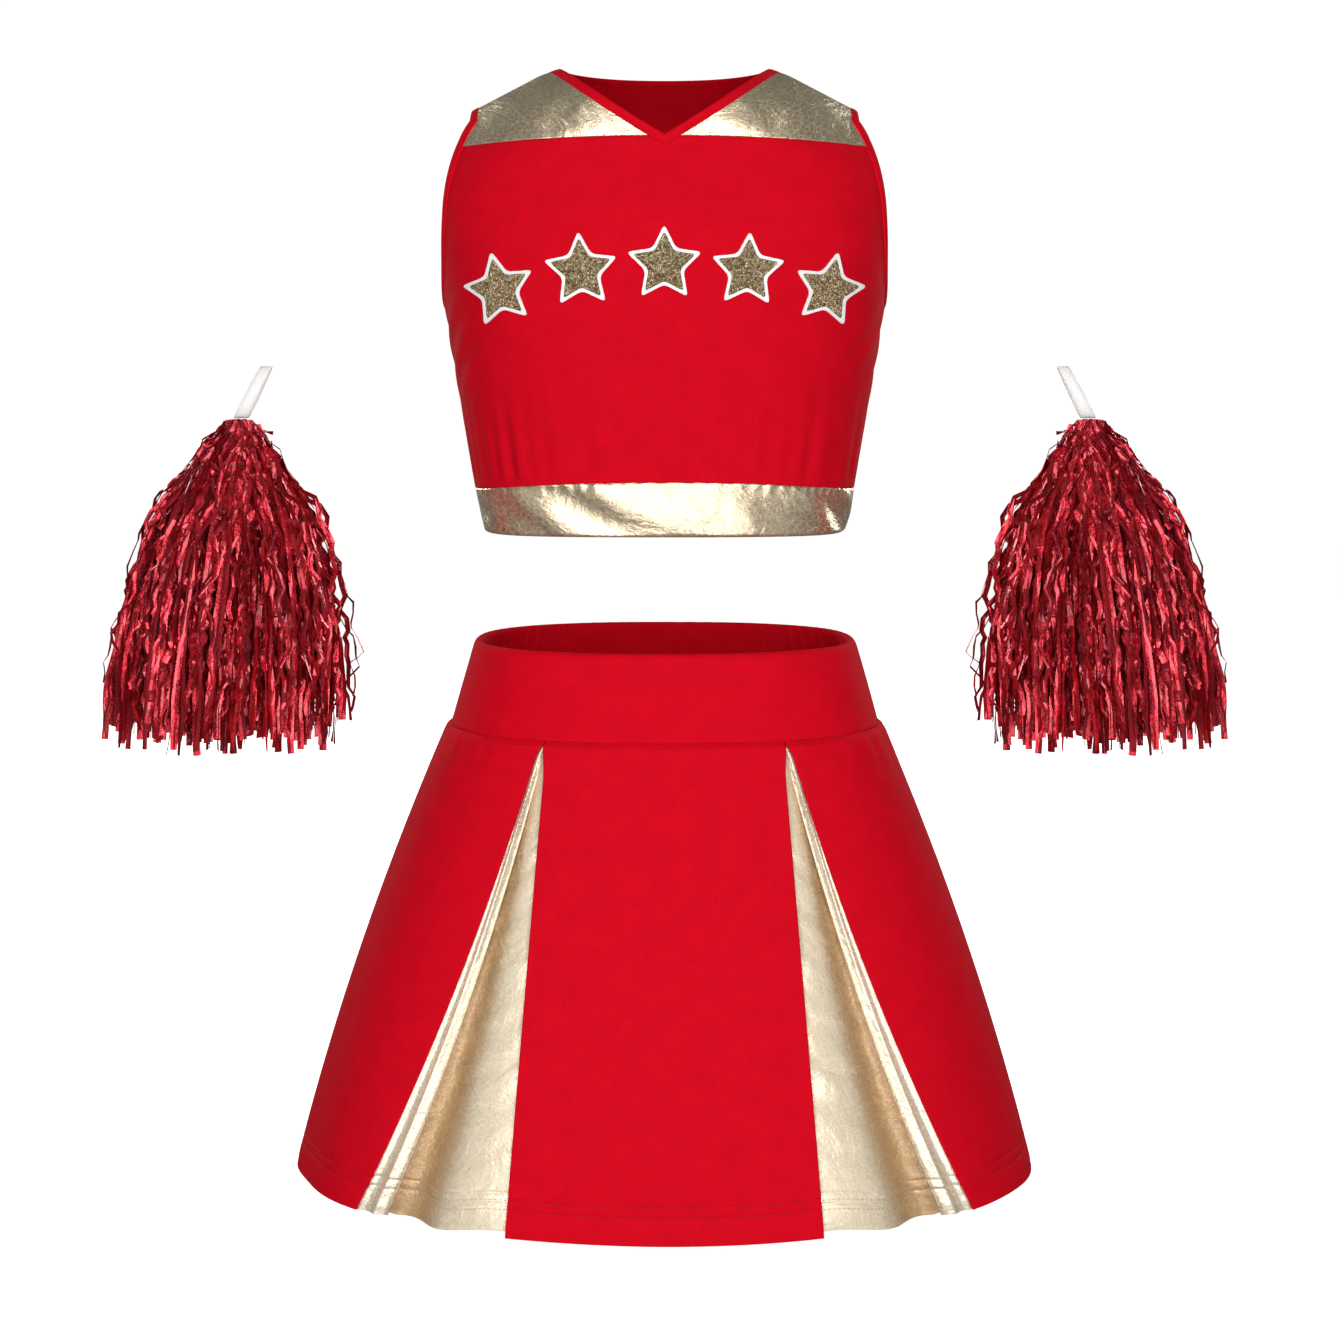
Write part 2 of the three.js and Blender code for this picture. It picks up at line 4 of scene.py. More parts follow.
import bmesh
import bpy
import numpy as np
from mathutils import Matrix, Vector


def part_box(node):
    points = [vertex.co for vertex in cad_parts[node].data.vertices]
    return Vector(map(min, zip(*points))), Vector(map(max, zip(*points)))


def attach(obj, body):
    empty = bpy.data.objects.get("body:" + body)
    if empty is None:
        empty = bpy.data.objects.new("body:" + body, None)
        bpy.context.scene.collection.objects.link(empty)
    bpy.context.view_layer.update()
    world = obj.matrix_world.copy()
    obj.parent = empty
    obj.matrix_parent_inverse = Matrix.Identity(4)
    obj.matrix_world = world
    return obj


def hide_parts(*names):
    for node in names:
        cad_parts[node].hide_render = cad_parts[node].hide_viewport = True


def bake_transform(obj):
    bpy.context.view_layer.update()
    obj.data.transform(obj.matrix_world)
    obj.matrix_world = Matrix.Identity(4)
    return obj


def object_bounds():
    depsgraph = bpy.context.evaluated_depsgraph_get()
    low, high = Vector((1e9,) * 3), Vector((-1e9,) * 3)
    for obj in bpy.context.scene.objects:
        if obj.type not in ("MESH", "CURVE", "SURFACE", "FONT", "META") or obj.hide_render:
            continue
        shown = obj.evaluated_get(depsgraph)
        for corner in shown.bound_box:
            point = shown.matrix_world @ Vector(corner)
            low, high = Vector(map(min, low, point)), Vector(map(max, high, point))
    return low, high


bl_info = {
    "name": "Cheer Uniform",
    "version": (1, 0, 0),
    "blender": (4, 5, 0),
    "location": "3D View > Sidebar > Uniform",
    "description": "Builds a crop top, a pleated skirt and a pair of tinsel pom-poms",
    "category": "Add Mesh",
}

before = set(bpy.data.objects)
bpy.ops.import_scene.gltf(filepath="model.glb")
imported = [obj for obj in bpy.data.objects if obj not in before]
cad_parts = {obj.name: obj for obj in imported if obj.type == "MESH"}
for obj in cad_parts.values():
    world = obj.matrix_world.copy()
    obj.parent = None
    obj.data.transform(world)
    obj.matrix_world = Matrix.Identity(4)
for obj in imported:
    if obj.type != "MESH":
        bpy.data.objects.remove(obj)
CAD_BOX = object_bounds()

MM = 0.001
FULL_TURN = 2 * math.pi
SIDE = math.pi / 2  # the angle of the right side seam
POWER = 2.4  # roundness of a body section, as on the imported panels
LAYER = 1.3 * MM  # thickness of the finished cloth
GAP = 0.3 * MM  # between two panels at a seam
FRONT_SIDE = -1  # which way the front half of the top faces along y

# ---- Sizes that follow the frame ----

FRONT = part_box("top_front")
HEM_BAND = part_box("hem_band_front")
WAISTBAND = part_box("waistband_front")
SKIRT_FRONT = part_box("skirt_front_panel")
SKIRT_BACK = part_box("skirt_back_panel")


# ---- Small maths ----


def mix(a, b, t):
    return a + (b - a) * t


def clamp(value, low=0.0, high=1.0):
    return np.clip(value, low, high)


def smooth(edge0, edge1, value):
    """0 before edge0, 1 after edge1, eased between."""
    t = clamp((value - edge0) / (edge1 - edge0))
    return t * t * (3 - 2 * t)


def power(value, exponent):
    """A signed power, so that both halves of a section curve alike."""
    return np.sign(value) * np.abs(value) ** exponent


def through(stations):
    """A smooth size through (height, size) stations, listed from the lowest up."""
    heights, sizes = (np.array(column, float) for column in zip(*stations))
    slopes = np.empty_like(sizes)
    slopes[1:-1] = (sizes[2:] - sizes[:-2]) / (heights[2:] - heights[:-2])
    slopes[0] = (sizes[1] - sizes[0]) / (heights[1] - heights[0])
    slopes[-1] = (sizes[-1] - sizes[-2]) / (heights[-1] - heights[-2])

    def size(height):
        height = np.asarray(height, float)
        i = clamp(np.searchsorted(heights, height, side="right") - 1, 0, len(heights) - 2)
        span = heights[i + 1] - heights[i]
        t = clamp((height - heights[i]) / span)
        bend = (slopes[i] * (1 - t) - slopes[i + 1] * t) * span * t * (1 - t)
        return mix(sizes[i], sizes[i + 1], t * t * (3 - 2 * t)) + bend

    return size


def waves(seed, count, low, high):
    """A sum of count gentle sine waves of wavelength low to high metres, along any length, from -1 to 1."""
    rng = np.random.default_rng(seed)
    lengths = rng.uniform(low, high, count)
    phases = rng.uniform(0, FULL_TURN, count)

    def height(along):
        parts = [np.sin(FULL_TURN * along / w + p) for w, p in zip(lengths, phases)]
        return sum(parts) / count ** 0.5 / 1.4

    return height


# ---- Body surfaces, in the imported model's own frame ----

HEM_Z = float(HEM_BAND[0].z)
BUST_Z = 0.248
YOKE_SEAM_Z = float(FRONT[1].z)
SHOULDER_CURL = 0.055
SHOULDER_TIP = (0.121, 0.3345)
SHOULDER_SLOPE = 0.506
YOKE_HALF_WIDTH = 0.147
ARMHOLE_LOW, ARMHOLE_HIGH = 0.215, 0.342
ARMHOLE_Z = (ARMHOLE_LOW + ARMHOLE_HIGH) / 2
ARMHOLE_HALF_HEIGHT = (ARMHOLE_HIGH - ARMHOLE_LOW) / 2
ARMHOLE_HALF_WIDTH = 0.042
ARMHOLE_BINDING = 0.0045
NECK_HALF_WIDTH = 0.066
NECK_BINDING = 0.0066
NECK_FRONT_Z = 0.3155
NECK_BACK_Z = 0.3585
NECK_BOW = 0.004
SHOULDER_GAP = 1e-9  # in height, where the cloth turns over the shoulder line
SEAM_MARGIN = 1e-6  # in angle, beside a side seam
TUCKED = 0.75  # share of a binding that the cloth under it doesn't reach into
YOKE_SEAM_MIDDLE = 0.3145
YOKE_SEAM_DROP = 0.004

top_half_width = through(
    [(HEM_Z, 0.1155), (0.104, 0.1225), (BUST_Z, 0.144), (YOKE_SEAM_MIDDLE, YOKE_HALF_WIDTH)]
)
top_half_depth = through([(HEM_Z, 0.083), (0.104, 0.088), (BUST_Z, 0.100), (0.3145, 0.080)])


def section(angle, half_width, half_depth):
    """A body section's x and y: angle 0 is the middle of the front, a quarter turn the right side seam."""
    x = half_width * power(np.sin(angle), 2 / POWER)
    return x, -half_depth * power(np.cos(angle), 2 / POWER)


def angle_at(x, half_width):
    return np.sign(x) * np.arcsin(clamp(np.abs(x) / half_width) ** (POWER / 2))


def shoulder_z(x):
    round_below = 0.055
    away = np.abs(x)
    away = np.where(away < round_below, away**2 / (2 * round_below) + round_below / 2, away)
    line = SHOULDER_TIP[1] + (SHOULDER_TIP[0] - away) * SHOULDER_SLOPE
    return line - 0.0028 * smooth(0.080, 0.060, np.abs(x))


def crest_z(angle):
    return shoulder_z(np.abs(np.sin(angle)) ** (2 / POWER) * YOKE_HALF_WIDTH)


def middle(angle):
    return np.cos(angle) ** 2


def top_hem_z(angle):
    return HEM_Z + 0.002 * middle(angle)


def top_seam_z(angle):
    return HEM_Z + 0.028 + 0.008 * middle(angle)


def torso(angle, z, facing=-1, out=0.0):
    """The crop top's outer surface, facing -1 on the front half and 1 on the back, moved out by out."""
    crest = crest_z(angle) + out
    curl = clamp(1 - (crest - z) / SHOULDER_CURL)
    depth = (top_half_depth(z) + out) * np.sqrt(clamp(1 - curl**2))
    x, y = section(angle, top_half_width(z) + out, depth)
    return np.stack([x, -facing * y, z + 0 * x], -1)


def yoke_seam_z(x):
    return YOKE_SEAM_MIDDLE - YOKE_SEAM_DROP * (x / SHOULDER_TIP[0]) ** 2


def armhole_angle(z, extra=0.0):
    """How far round the front half the cloth reaches at height z: to the side seam or the armhole's edge."""
    z = np.asarray(z, float)
    rise = clamp(1 - ((z - ARMHOLE_Z) / (ARMHOLE_HALF_HEIGHT + extra)) ** 2)
    half_width = (ARMHOLE_HALF_WIDTH + extra) * np.sqrt(rise)
    low, high = np.zeros_like(z), np.full_like(z, math.pi / 2)
    for _ in range(30):
        angle = (low + high) / 2
        inside = -torso(angle, z)[..., 1] > half_width
        low, high = np.where(inside, angle, low), np.where(inside, high, angle)
    tip = angle_at(SHOULDER_TIP[0] - extra, top_half_width(z))
    return np.where(rise <= 0, math.pi / 2, np.maximum(low, tip))


def neck_edge(x, facing, extra):
    """The neckline's height over x: a shallow V in front and nearly level at the back."""
    half_width = NECK_HALF_WIDTH + extra
    tip = (NECK_FRONT_Z if facing < 0 else NECK_BACK_Z) - extra
    crest = shoulder_z(half_width)
    t = clamp(np.abs(x) / half_width)
    if facing > 0:
        return mix(tip, crest, t**2.6)
    knee = mix(tip, crest, 0.5) - NECK_BOW
    return (1 - t) ** 2 * tip + 2 * t * (1 - t) * knee + t * t * crest


SEAM_Z = float(WAISTBAND[0].z)  # the waist seam
SKIRT_TOP_Z = float(SKIRT_FRONT[1].z) + 0.5 * MM
SKIRT_LENGTH = SKIRT_TOP_Z - float(SKIRT_FRONT[0].z)
SKIRT_HEM_RISE = 0.013
WAIST_TOP = (0.1226, 0.086)
WAIST_SEAM = (0.1385, 0.097)
SKIRT_TOP = (0.141, 0.0995)
SKIRT_HEM = (float(SKIRT_BACK[1].x), float(SKIRT_BACK[1].y))
SKIRT_BULGE = 0.0066
FRONT_EDGE = (0.073, 0.099)
PLEAT_EDGE = (0.077, 0.122, 0.195)


def off_left_seam(angle):
    """0 at the left side seam, where a turn round the body starts and ends, and 1 away from it."""
    return smooth(0.0, 0.4, angle + math.pi / 2) * smooth(0.0, 0.4, 1.5 * math.pi - angle)


def skirt_drop(angle):
    return SKIRT_LENGTH - SKIRT_HEM_RISE * np.abs(np.sin(angle)) ** 1.4


def skirt_sizes(down):
    bow = 4 * SKIRT_BULGE * down * (1 - down)
    return mix(SKIRT_TOP[0], SKIRT_HEM[0], down) + bow, mix(SKIRT_TOP[1], SKIRT_HEM[1], down) + bow / 2


def on_skirt(angle, down, out=0.0):
    """The skirt's outer surface: down is 0 at the waist seam and 1 at the hem."""
    half_width, half_depth = skirt_sizes(down)
    x, y = section(angle, half_width + out, half_depth + out)
    return np.stack([x, y, SKIRT_TOP_Z - down * skirt_drop(angle)], -1)


def skirt_angle(x, down):
    return angle_at(x, skirt_sizes(down)[0])


def front_edge(down):
    return mix(FRONT_EDGE[0], FRONT_EDGE[1], down) + 0.002 * smooth(0.08, 0.0, down)


def pleat_edge(down):
    a, b, c = PLEAT_EDGE
    return (1 - down) ** 2 * a + 2 * down * (1 - down) * b + down**2 * c - 0.0016 * smooth(0.04, 0.0, down)


# ---- Meshes ----


def new_object(name, points, faces, uv=None):
    mesh = bpy.data.meshes.new(name)
    mesh.from_pydata(points.reshape(-1, 3).tolist(), [], [list(map(int, f)) for f in faces])
    if uv is not None:
        layer = mesh.uv_layers.new(name="cloth")
        corner = np.empty(len(mesh.loops), np.int32)
        mesh.loops.foreach_get("vertex_index", corner)
        layer.data.foreach_set("uv", uv.reshape(-1, 2)[corner].astype(np.float32).ravel())
    mesh.validate()
    mesh.shade_smooth()
    piece = bpy.data.objects.new(name, mesh)
    bpy.context.scene.collection.objects.link(piece)
    return piece


def grid_faces(rows, columns, closed_rows=False, closed_columns=False, start=0):
    """Quads over a rows by columns grid of points."""
    i = np.arange(rows if closed_rows else rows - 1)[:, None]
    j = np.arange(columns if closed_columns else columns - 1)[None, :]
    i2, j2 = (i + 1) % rows, (j + 1) % columns
    corners = [i * columns + j, i * columns + j2, i2 * columns + j2, i2 * columns + j]
    return np.stack([c + start for c in corners], -1).reshape(-1, 4)


def grid_normals(points):
    """Unit normals of a grid of points, by differences along its rows and columns."""
    normal = np.cross(np.gradient(points, axis=1), np.gradient(points, axis=0))
    length = np.linalg.norm(normal, axis=-1, keepdims=True)
    return normal / np.maximum(length, 1e-12)


def metric_uv(points):
    """Cloth coordinates in metres: along each row from its middle, and up each column."""
    across = np.linalg.norm(np.diff(points, axis=1), axis=-1).cumsum(1)
    across = np.concatenate([np.zeros((len(points), 1)), across], 1)
    across -= across[:, points.shape[1] // 2][:, None]
    up = np.linalg.norm(np.diff(points, axis=0), axis=-1).cumsum(0)
    up = np.concatenate([np.zeros((1, points.shape[1])), up], 0)
    return np.stack([across, up], -1)


def cloth(name, points, outward, depth=None):
    """A sheet with thickness from a grid of points on its outside, which faces away from the point outward.

    depth says for each point how much painted fold shade its colour gets, from 0 to 1.
    """
    normals = grid_normals(points)
    away = points - np.asarray(outward, float)
    if np.sum(normals * away) < 0:
        normals = -normals
        points, normals = points[:, ::-1], normals[:, ::-1]
        depth = None if depth is None else depth[:, ::-1]
    rows, columns = points.shape[:2]
    inside = points - normals * LAYER
    uv = metric_uv(points)
    count = rows * columns
    faces = [grid_faces(rows, columns)[:, ::-1], grid_faces(rows, columns, start=count)]
    edge = np.concatenate(
        [
            np.arange(columns),
            np.arange(1, rows) * columns + columns - 1,
            (rows - 1) * columns + np.arange(columns - 2, -1, -1),
            np.arange(rows - 2, 0, -1) * columns,
        ]
    )
    after = np.roll(edge, -1)
    faces.append(np.stack([edge, after, after + count, edge + count], -1))
    piece = new_object(name, np.stack([points, inside]), np.concatenate(faces), np.stack([uv, uv]))
    orient(piece)
    # The depth attribute holds painted shade for the folds: the foil material darkens towards ochre by it.
    if depth is not None:
        layer = piece.data.attributes.new("depth", "FLOAT", "POINT")
        layer.data.foreach_set("value", np.stack([depth, depth]).astype(np.float32).ravel())
    return piece


def orient(piece):
    """Turns every face to point out of its closed shell."""
    work = bmesh.new()
    work.from_mesh(piece.data)
    bmesh.ops.recalc_face_normals(work, faces=work.faces)
    work.to_mesh(piece.data)
    work.free()


def swept(name, rings, closed=False, uv=None):
    """A solid through rings of points, each a closed outline, with capped ends unless it closes on itself."""
    count, size = rings.shape[:2]
    faces = list(grid_faces(count, size, closed_rows=closed, closed_columns=True))
    if not closed:
        faces += [list(range(size)), list(range((count - 1) * size, count * size))]
    piece = new_object(name, rings, faces, uv)
    orient(piece)
    return piece


def joined(name, parts):
    """One mesh from several lists of points and faces."""
    points, faces, uvs, start = [], [], [], 0
    for part_points, part_faces, part_uv in parts:
        points.append(part_points.reshape(-1, 3))
        faces.append(part_faces + start)
        uvs.append(part_uv.reshape(-1, 2))
        start += len(points[-1])
    return new_object(name, np.concatenate(points), np.concatenate(faces), np.concatenate(uvs))


def patch(left, right, bottom, top, columns, rows, crowd=1.0):
    """A grid in surface coordinates between four edges, each edge(t) giving (angle, z) for t from 0 to 1."""
    v = 1 - (1 - np.linspace(0, 1, rows)) ** crowd
    u = np.linspace(0, 1, columns)
    sides = [np.stack(edge(v), -1)[:, None] for edge in (left, right)]
    ends = [np.stack(edge(u), -1)[None] for edge in (bottom, top)]
    uu, vv = u[None, :, None], v[:, None, None]
    corners = [[ends[0][:, :1], ends[0][:, -1:]], [ends[1][:, :1], ends[1][:, -1:]]]
    ruled = mix(sides[0], sides[1], uu) + mix(ends[0], ends[1], vv)
    flat = mix(mix(corners[0][0], corners[0][1], uu), mix(corners[1][0], corners[1][1], uu), vv)
    grid = ruled - flat
    return grid[..., 0], grid[..., 1]


# ---- Shader maths ----


class Value:
    """A shader socket that takes part in Python expressions."""

    def __init__(self, shader, socket):
        self.shader, self.socket = shader, socket

    def _math(self, operation, *others):
        return self.shader.math(operation, self, *others)

    def __add__(self, other):
        return self._math("ADD", other)

    def __sub__(self, other):
        return self._math("SUBTRACT", other)

    def __mul__(self, other):
        return self._math("MULTIPLY", other)

    def __radd__(self, other):
        return self._math("ADD", other)

    def __rmul__(self, other):
        return self._math("MULTIPLY", other)

    def __rsub__(self, other):
        return self.shader.math("SUBTRACT", other, self)

    def sine(self):
        return self._math("SINE")

    def between(self, low, high):
        """0 below low and 1 above high, eased between."""
        return self.shader.node(
            "ShaderNodeMapRange",
            {"interpolation_type": "SMOOTHSTEP"},
            {"Value": self, "From Min": low, "From Max": high},
        )


class Shader:
    """Builds one material's nodes."""

    def __init__(self, name):
        self.material = bpy.data.materials.new(name)
        self.material.use_nodes = True
        self.tree = self.material.node_tree
        self.tree.nodes.clear()

    def node(self, kind, settings=None, inputs=None, output=0):
        made = self.tree.nodes.new(kind)
        for key, value in (settings or {}).items():
            if key == "stops":
                self._stops(made.color_ramp, value)
            else:
                setattr(made, key, value)
        for key, value in (inputs or {}).items():
            socket = made.inputs[key]
            if isinstance(value, Value):
                self.tree.links.new(value.socket, socket)
            else:
                socket.default_value = value
        return Value(self, made.outputs[output]) if len(made.outputs) else None

    @staticmethod
    def _stops(ramp, stops):
        while len(ramp.elements) < len(stops):
            ramp.elements.new(0.5)
        for element, (position, colour) in zip(ramp.elements, stops):
            element.position, element.color = position, (*colour, 1)

    def math(self, operation, *values):
        return self.node("ShaderNodeMath", {"operation": operation}, dict(enumerate(values)))

    def cloth_uv(self):
        return self.node("ShaderNodeUVMap", {"uv_map": "cloth"})

    def place(self):
        return self.node("ShaderNodeTexCoord", output="Object")

    def axes(self, vector):
        split = self.node("ShaderNodeSeparateXYZ", inputs={"Vector": vector})
        sockets = split.socket.node.outputs
        return [Value(self, s) for s in sockets]

    def noise(self, vector, scale, detail=3.0, roughness=0.5, distortion=0.0):
        return self.node(
            "ShaderNodeTexNoise",
            inputs={
                "Vector": vector,
                "Scale": scale,
                "Detail": detail,
                "Roughness": roughness,
                "Distortion": distortion,
            },
        )

    def cells(self, vector, scale, output="Color", **settings):
        return self.node("ShaderNodeTexVoronoi", settings, {"Vector": vector, "Scale": scale}, output)

    def blend(self, factor, first, second):
        """A colour between two, each a Value or (red, green, blue)."""
        first, second = (c if isinstance(c, Value) else (*c, 1) for c in (first, second))
        return self.node("ShaderNodeMix", {"data_type": "RGBA"}, {0: factor, 6: first, 7: second}, output=2)

    def bump(self, height, distance, strength=1.0, normal=None):
        inputs = {"Height": height, "Distance": distance, "Strength": strength}
        if normal is not None:
            inputs["Normal"] = normal
        return self.node("ShaderNodeBump", inputs=inputs)

    def finish(self, **inputs):
        settings = {name.replace("_", " "): value for name, value in inputs.items()}
        surface = self.node("ShaderNodeBsdfPrincipled", inputs=settings)
        self.node("ShaderNodeOutputMaterial", inputs={"Surface": surface})
        return self.material


def scaled(colour, share):
    return tuple(c * share for c in colour)


def paler(colour, share):
    return tuple(mix(c, 1.0, share) for c in colour)


def knit_material(name, colour, dark):
    """Matte stretch knit: fine wales and courses, a soft mottle and a faint sheen."""
    s = Shader(name)
    uv = s.cloth_uv()
    across, up, _ = s.axes(uv)
    wale = (across * (FULL_TURN / 0.0011)).sine()
    course = (up * (FULL_TURN / 0.0009) + wale * 0.8).sine()
    mottle = s.noise(uv, 60.0, 4.0, 0.6)
    fuzz = s.noise(uv, 1400.0, 2.0, 0.6)
    tone = s.blend(mottle.between(0.3, 0.75), dark, colour)
    tone = s.blend(fuzz.between(0.35, 0.8) * 0.12, tone, paler(colour, 0.02))
    height = wale * 0.35 + course * 0.3 + fuzz * 0.8
    crease = s.bump(s.noise(uv, 26.0, 3.0, 0.5, 0.4), 0.0012, 0.35)
    normal = s.bump(height, 0.00012, 0.55, crease)
    return s.finish(
        Base_Color=tone,
        Roughness=0.78 + fuzz * 0.14,
        Normal=normal,
        Sheen_Weight=0.025,
        Sheen_Roughness=0.4,
        Sheen_Tint=(1.0, 0.1, 0.14, 1.0),
        Specular_IOR_Level=0.05,
    )


def foil_material(name, colour, shade, metal):
    """Metallic foil printed on knit: crackled, creased and rubbed duller in patches; where it folds, painted
    shade darkens it towards ochre.
    """
    s = Shader(name)
    uv = s.cloth_uv()
    broad = s.noise(uv, 34.0, 5.0, 0.6, 0.8)
    crackle = s.noise(uv, 420.0, 6.0, 0.72, 0.6)
    grain = s.cells(uv, 900.0, "Distance")
    vein = s.cells(uv, 260.0, "Distance", feature="DISTANCE_TO_EDGE")
    cracks = 1 - vein.between(0.0, 0.09)
    rub = crackle.between(0.42, 0.68)
    patch = s.noise(uv, 55.0, 3.0, 0.6).between(0.38, 0.62)
    worn = rub * (0.35 + patch * 0.65)
    tone = s.blend(worn * 0.8, colour, shade)
    tone = s.blend(cracks * worn * 0.4, tone, scaled(shade, 0.4))
    soft = s.bump(broad, 0.004, 0.5)
    # Painted shade: the depth attribute darkens the foil towards ochre in the folds of the pleats and
    # facings.
    painted_fold_shade = s.node("ShaderNodeAttribute", {"attribute_name": "depth"}, output="Fac")
    tone = s.blend(painted_fold_shade, tone, (0.52, 0.30, 0.12))
    fine = s.bump(crackle * 0.9 + grain * 0.2 - cracks * 0.2, 0.0004, 0.3 + worn * 0.3, soft)
    return s.finish(
        Base_Color=tone,
        Metallic=metal - cracks * 0.3,
        Roughness=0.27 + worn * 0.16,
        Normal=fine,
        Specular_IOR_Level=0.5,
    )


def glitter_material(name):
    """Coarse glitter film: each flake tilts its own way and holds its own shade of gold."""
    s = Shader(name)
    place = s.place()
    flake = s.cells(place, 900.0)
    red, green, _ = s.axes(flake)
    small = s.cells(place, 1500.0)
    tiny, _, _ = s.axes(small)
    tone = s.node(
        "ShaderNodeValToRGB",
        {
            "stops": [
                (0.0, (0.17, 0.105, 0.045)),
                (0.35, (0.42, 0.29, 0.14)),
                (0.7, (0.75, 0.58, 0.34)),
                (1.0, (1.0, 0.90, 0.68)),
            ]
        },
        {"Fac": red * 0.75 + tiny * 0.25},
    )
    edge = s.cells(place, 900.0, "Distance", feature="DISTANCE_TO_EDGE")
    tilt = s.noise(place, 900.0, 1.0)
    return s.finish(
        Base_Color=tone,
        Metallic=0.55 + green * 0.4,
        Roughness=0.22 + green * 0.3,
        Normal=s.bump(green * 0.8 + tilt + edge * 1.2, 0.0011, 0.9),
    )


def tinsel_material(name, colour, deep):
    """Metallised red film: mirror-like with soft dents, a little darker from strip to strip."""
    s = Shader(name)
    uv = s.cloth_uv()
    strip = s.noise(uv, 18.0, 2.0, 0.5)
    dent = s.noise(uv, 230.0, 3.0, 0.55, 0.5)
    scratch = s.noise(uv, 1700.0, 2.0)
    tone = s.blend(strip.between(0.32, 0.62), deep, colour)
    tone = s.blend(strip.between(0.6, 0.72) * 0.6, tone, (0.85, 0.09, 0.10))
    return s.finish(
        Base_Color=tone,
        Metallic=0.72,
        Roughness=0.17 + dent * 0.12 + scratch * 0.06,
        Normal=s.bump(dent, 0.0009, 0.6),
        Coat_Weight=0.35,
    )


def strap_material(name):
    """Milky flat plastic strap with fine lengthwise ribs."""
    s = Shader(name)
    uv = s.cloth_uv()
    across, _, _ = s.axes(uv)
    cloud = s.noise(uv, 120.0, 3.0)
    rib = (across * (FULL_TURN / 0.0016)).sine()
    tone = s.blend(cloud, (0.93, 0.92, 0.89), (1.0, 0.995, 0.98))
    return s.finish(
        Base_Color=tone,
        Roughness=0.34 + cloud * 0.14,
        Normal=s.bump(rib * 0.5 + cloud, 0.0002, 0.5),
        Subsurface_Weight=0.25,
        Subsurface_Radius=(0.006, 0.006, 0.005),
        Subsurface_Scale=1.0,
    )


def film_material(name):
    """White heat-set film with a trace of the knit pressed through."""
    s = Shader(name)
    place = s.place()
    press = s.noise(place, 900.0, 2.0)
    soil = s.noise(place, 90.0, 3.0)
    tone = s.blend(soil, (0.95, 0.94, 0.92), (1.0, 0.995, 0.985))
    return s.finish(Base_Color=tone, Roughness=0.42 + press * 0.15, Normal=s.bump(press, 0.0002, 0.4))


def thread_material(name, colour):
    """Spun sewing thread: a twist of two plies."""
    s = Shader(name)
    place = s.place()
    x, y, z = s.axes(place)
    ply = ((x + z + y) * (FULL_TURN / 0.0008)).sine()
    # Painted shade: the tone darkens in the grooves of the twist, following the same sine as the bump.
    tone = s.blend(ply * 0.5 + 0.5, scaled(colour, 0.72), colour)
    return s.finish(Base_Color=tone, Roughness=0.62, Normal=s.bump(ply, 0.0001, 0.6))


def elastic_material(name):
    """Woven elastic: lengthwise rubber ribs under a fine cross weave."""
    s = Shader(name)
    place = s.place()
    x, y, z = s.axes(place)
    rib = (z * (FULL_TURN / 0.003)).sine()
    weave = ((x + y) * (FULL_TURN / 0.0012)).sine()
    # Painted shade: the tone darkens between the ribs, following the same sine as the bump.
    tone = s.blend(rib * 0.3 + 0.5, (0.70, 0.69, 0.65), (0.86, 0.85, 0.81))
    return s.finish(Base_Color=tone, Roughness=0.8, Normal=s.bump(rib + weave * 0.4, 0.0003, 0.6))


MATERIALS = {}


def make_finish(kind):
    """A new material for a finish, in the maker's chosen colours."""
    looks = bpy.context.scene.uniform_looks
    red, gold, tinsel = tuple(looks.red), tuple(looks.gold), tuple(looks.tinsel)
    if kind == "knit":
        return knit_material("red_knit", red, scaled(red, 0.9))
    if kind == "foil":
        return foil_material("gold_foil", gold, scaled(gold, 0.62), 0.87)
    # The pleat and facing foils are paler, less metallic copies of the gold foil: their paler colour is a
    # painted reflection of the bright floor in front of the skirt.
    if kind == "pleat":
        return foil_material("pleat_foil_painted_light", paler(gold, 0.15), scaled(gold, 0.88), 0.28)
    if kind == "facing":
        return foil_material("facing_foil_painted_light", paler(gold, 0.3), scaled(gold, 0.85), 0.6)
    if kind == "tinsel":
        return tinsel_material("red_tinsel", tinsel, scaled(tinsel, 0.42))
    if kind == "red thread":
        return thread_material("red_thread", scaled(red, 0.55))
    if kind == "gold thread":
        return thread_material("cream_thread", (0.72, 0.60, 0.42))
    plain = {
        "glitter": (glitter_material, "gold_glitter"),
        "film": (film_material, "white_film"),
        "elastic": (elastic_material, "elastic_web"),
        "strap": (strap_material, "milky_strap"),
    }
    maker, name = plain[kind]
    return maker(name)


def finish_of(kind):
    """The material of a finish, made the first time that it is asked for."""
    if kind not in MATERIALS:
        MATERIALS[kind] = make_finish(kind)
    return MATERIALS[kind]


def refinish(piece, kind):
    piece.data.materials.clear()
    piece.data.materials.append(finish_of(kind))


def dress(piece, kind, body, replaces=(), blend=None):
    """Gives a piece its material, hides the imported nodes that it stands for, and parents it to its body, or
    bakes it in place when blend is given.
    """
    refinish(piece, kind)
    if replaces:
        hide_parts(*replaces)
    if blend:
        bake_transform(piece)
    else:
        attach(piece, body)
    return piece


# ---- Stitching ----


STITCH_LENGTH = 2.4 * MM
STITCH_PITCH = 3.2 * MM
THREAD_RADIUS = 0.26 * MM
STITCH_SWELL = (0.35, 0.9, 1.0, 0.9, 0.35)  # how full the thread is along one stitch


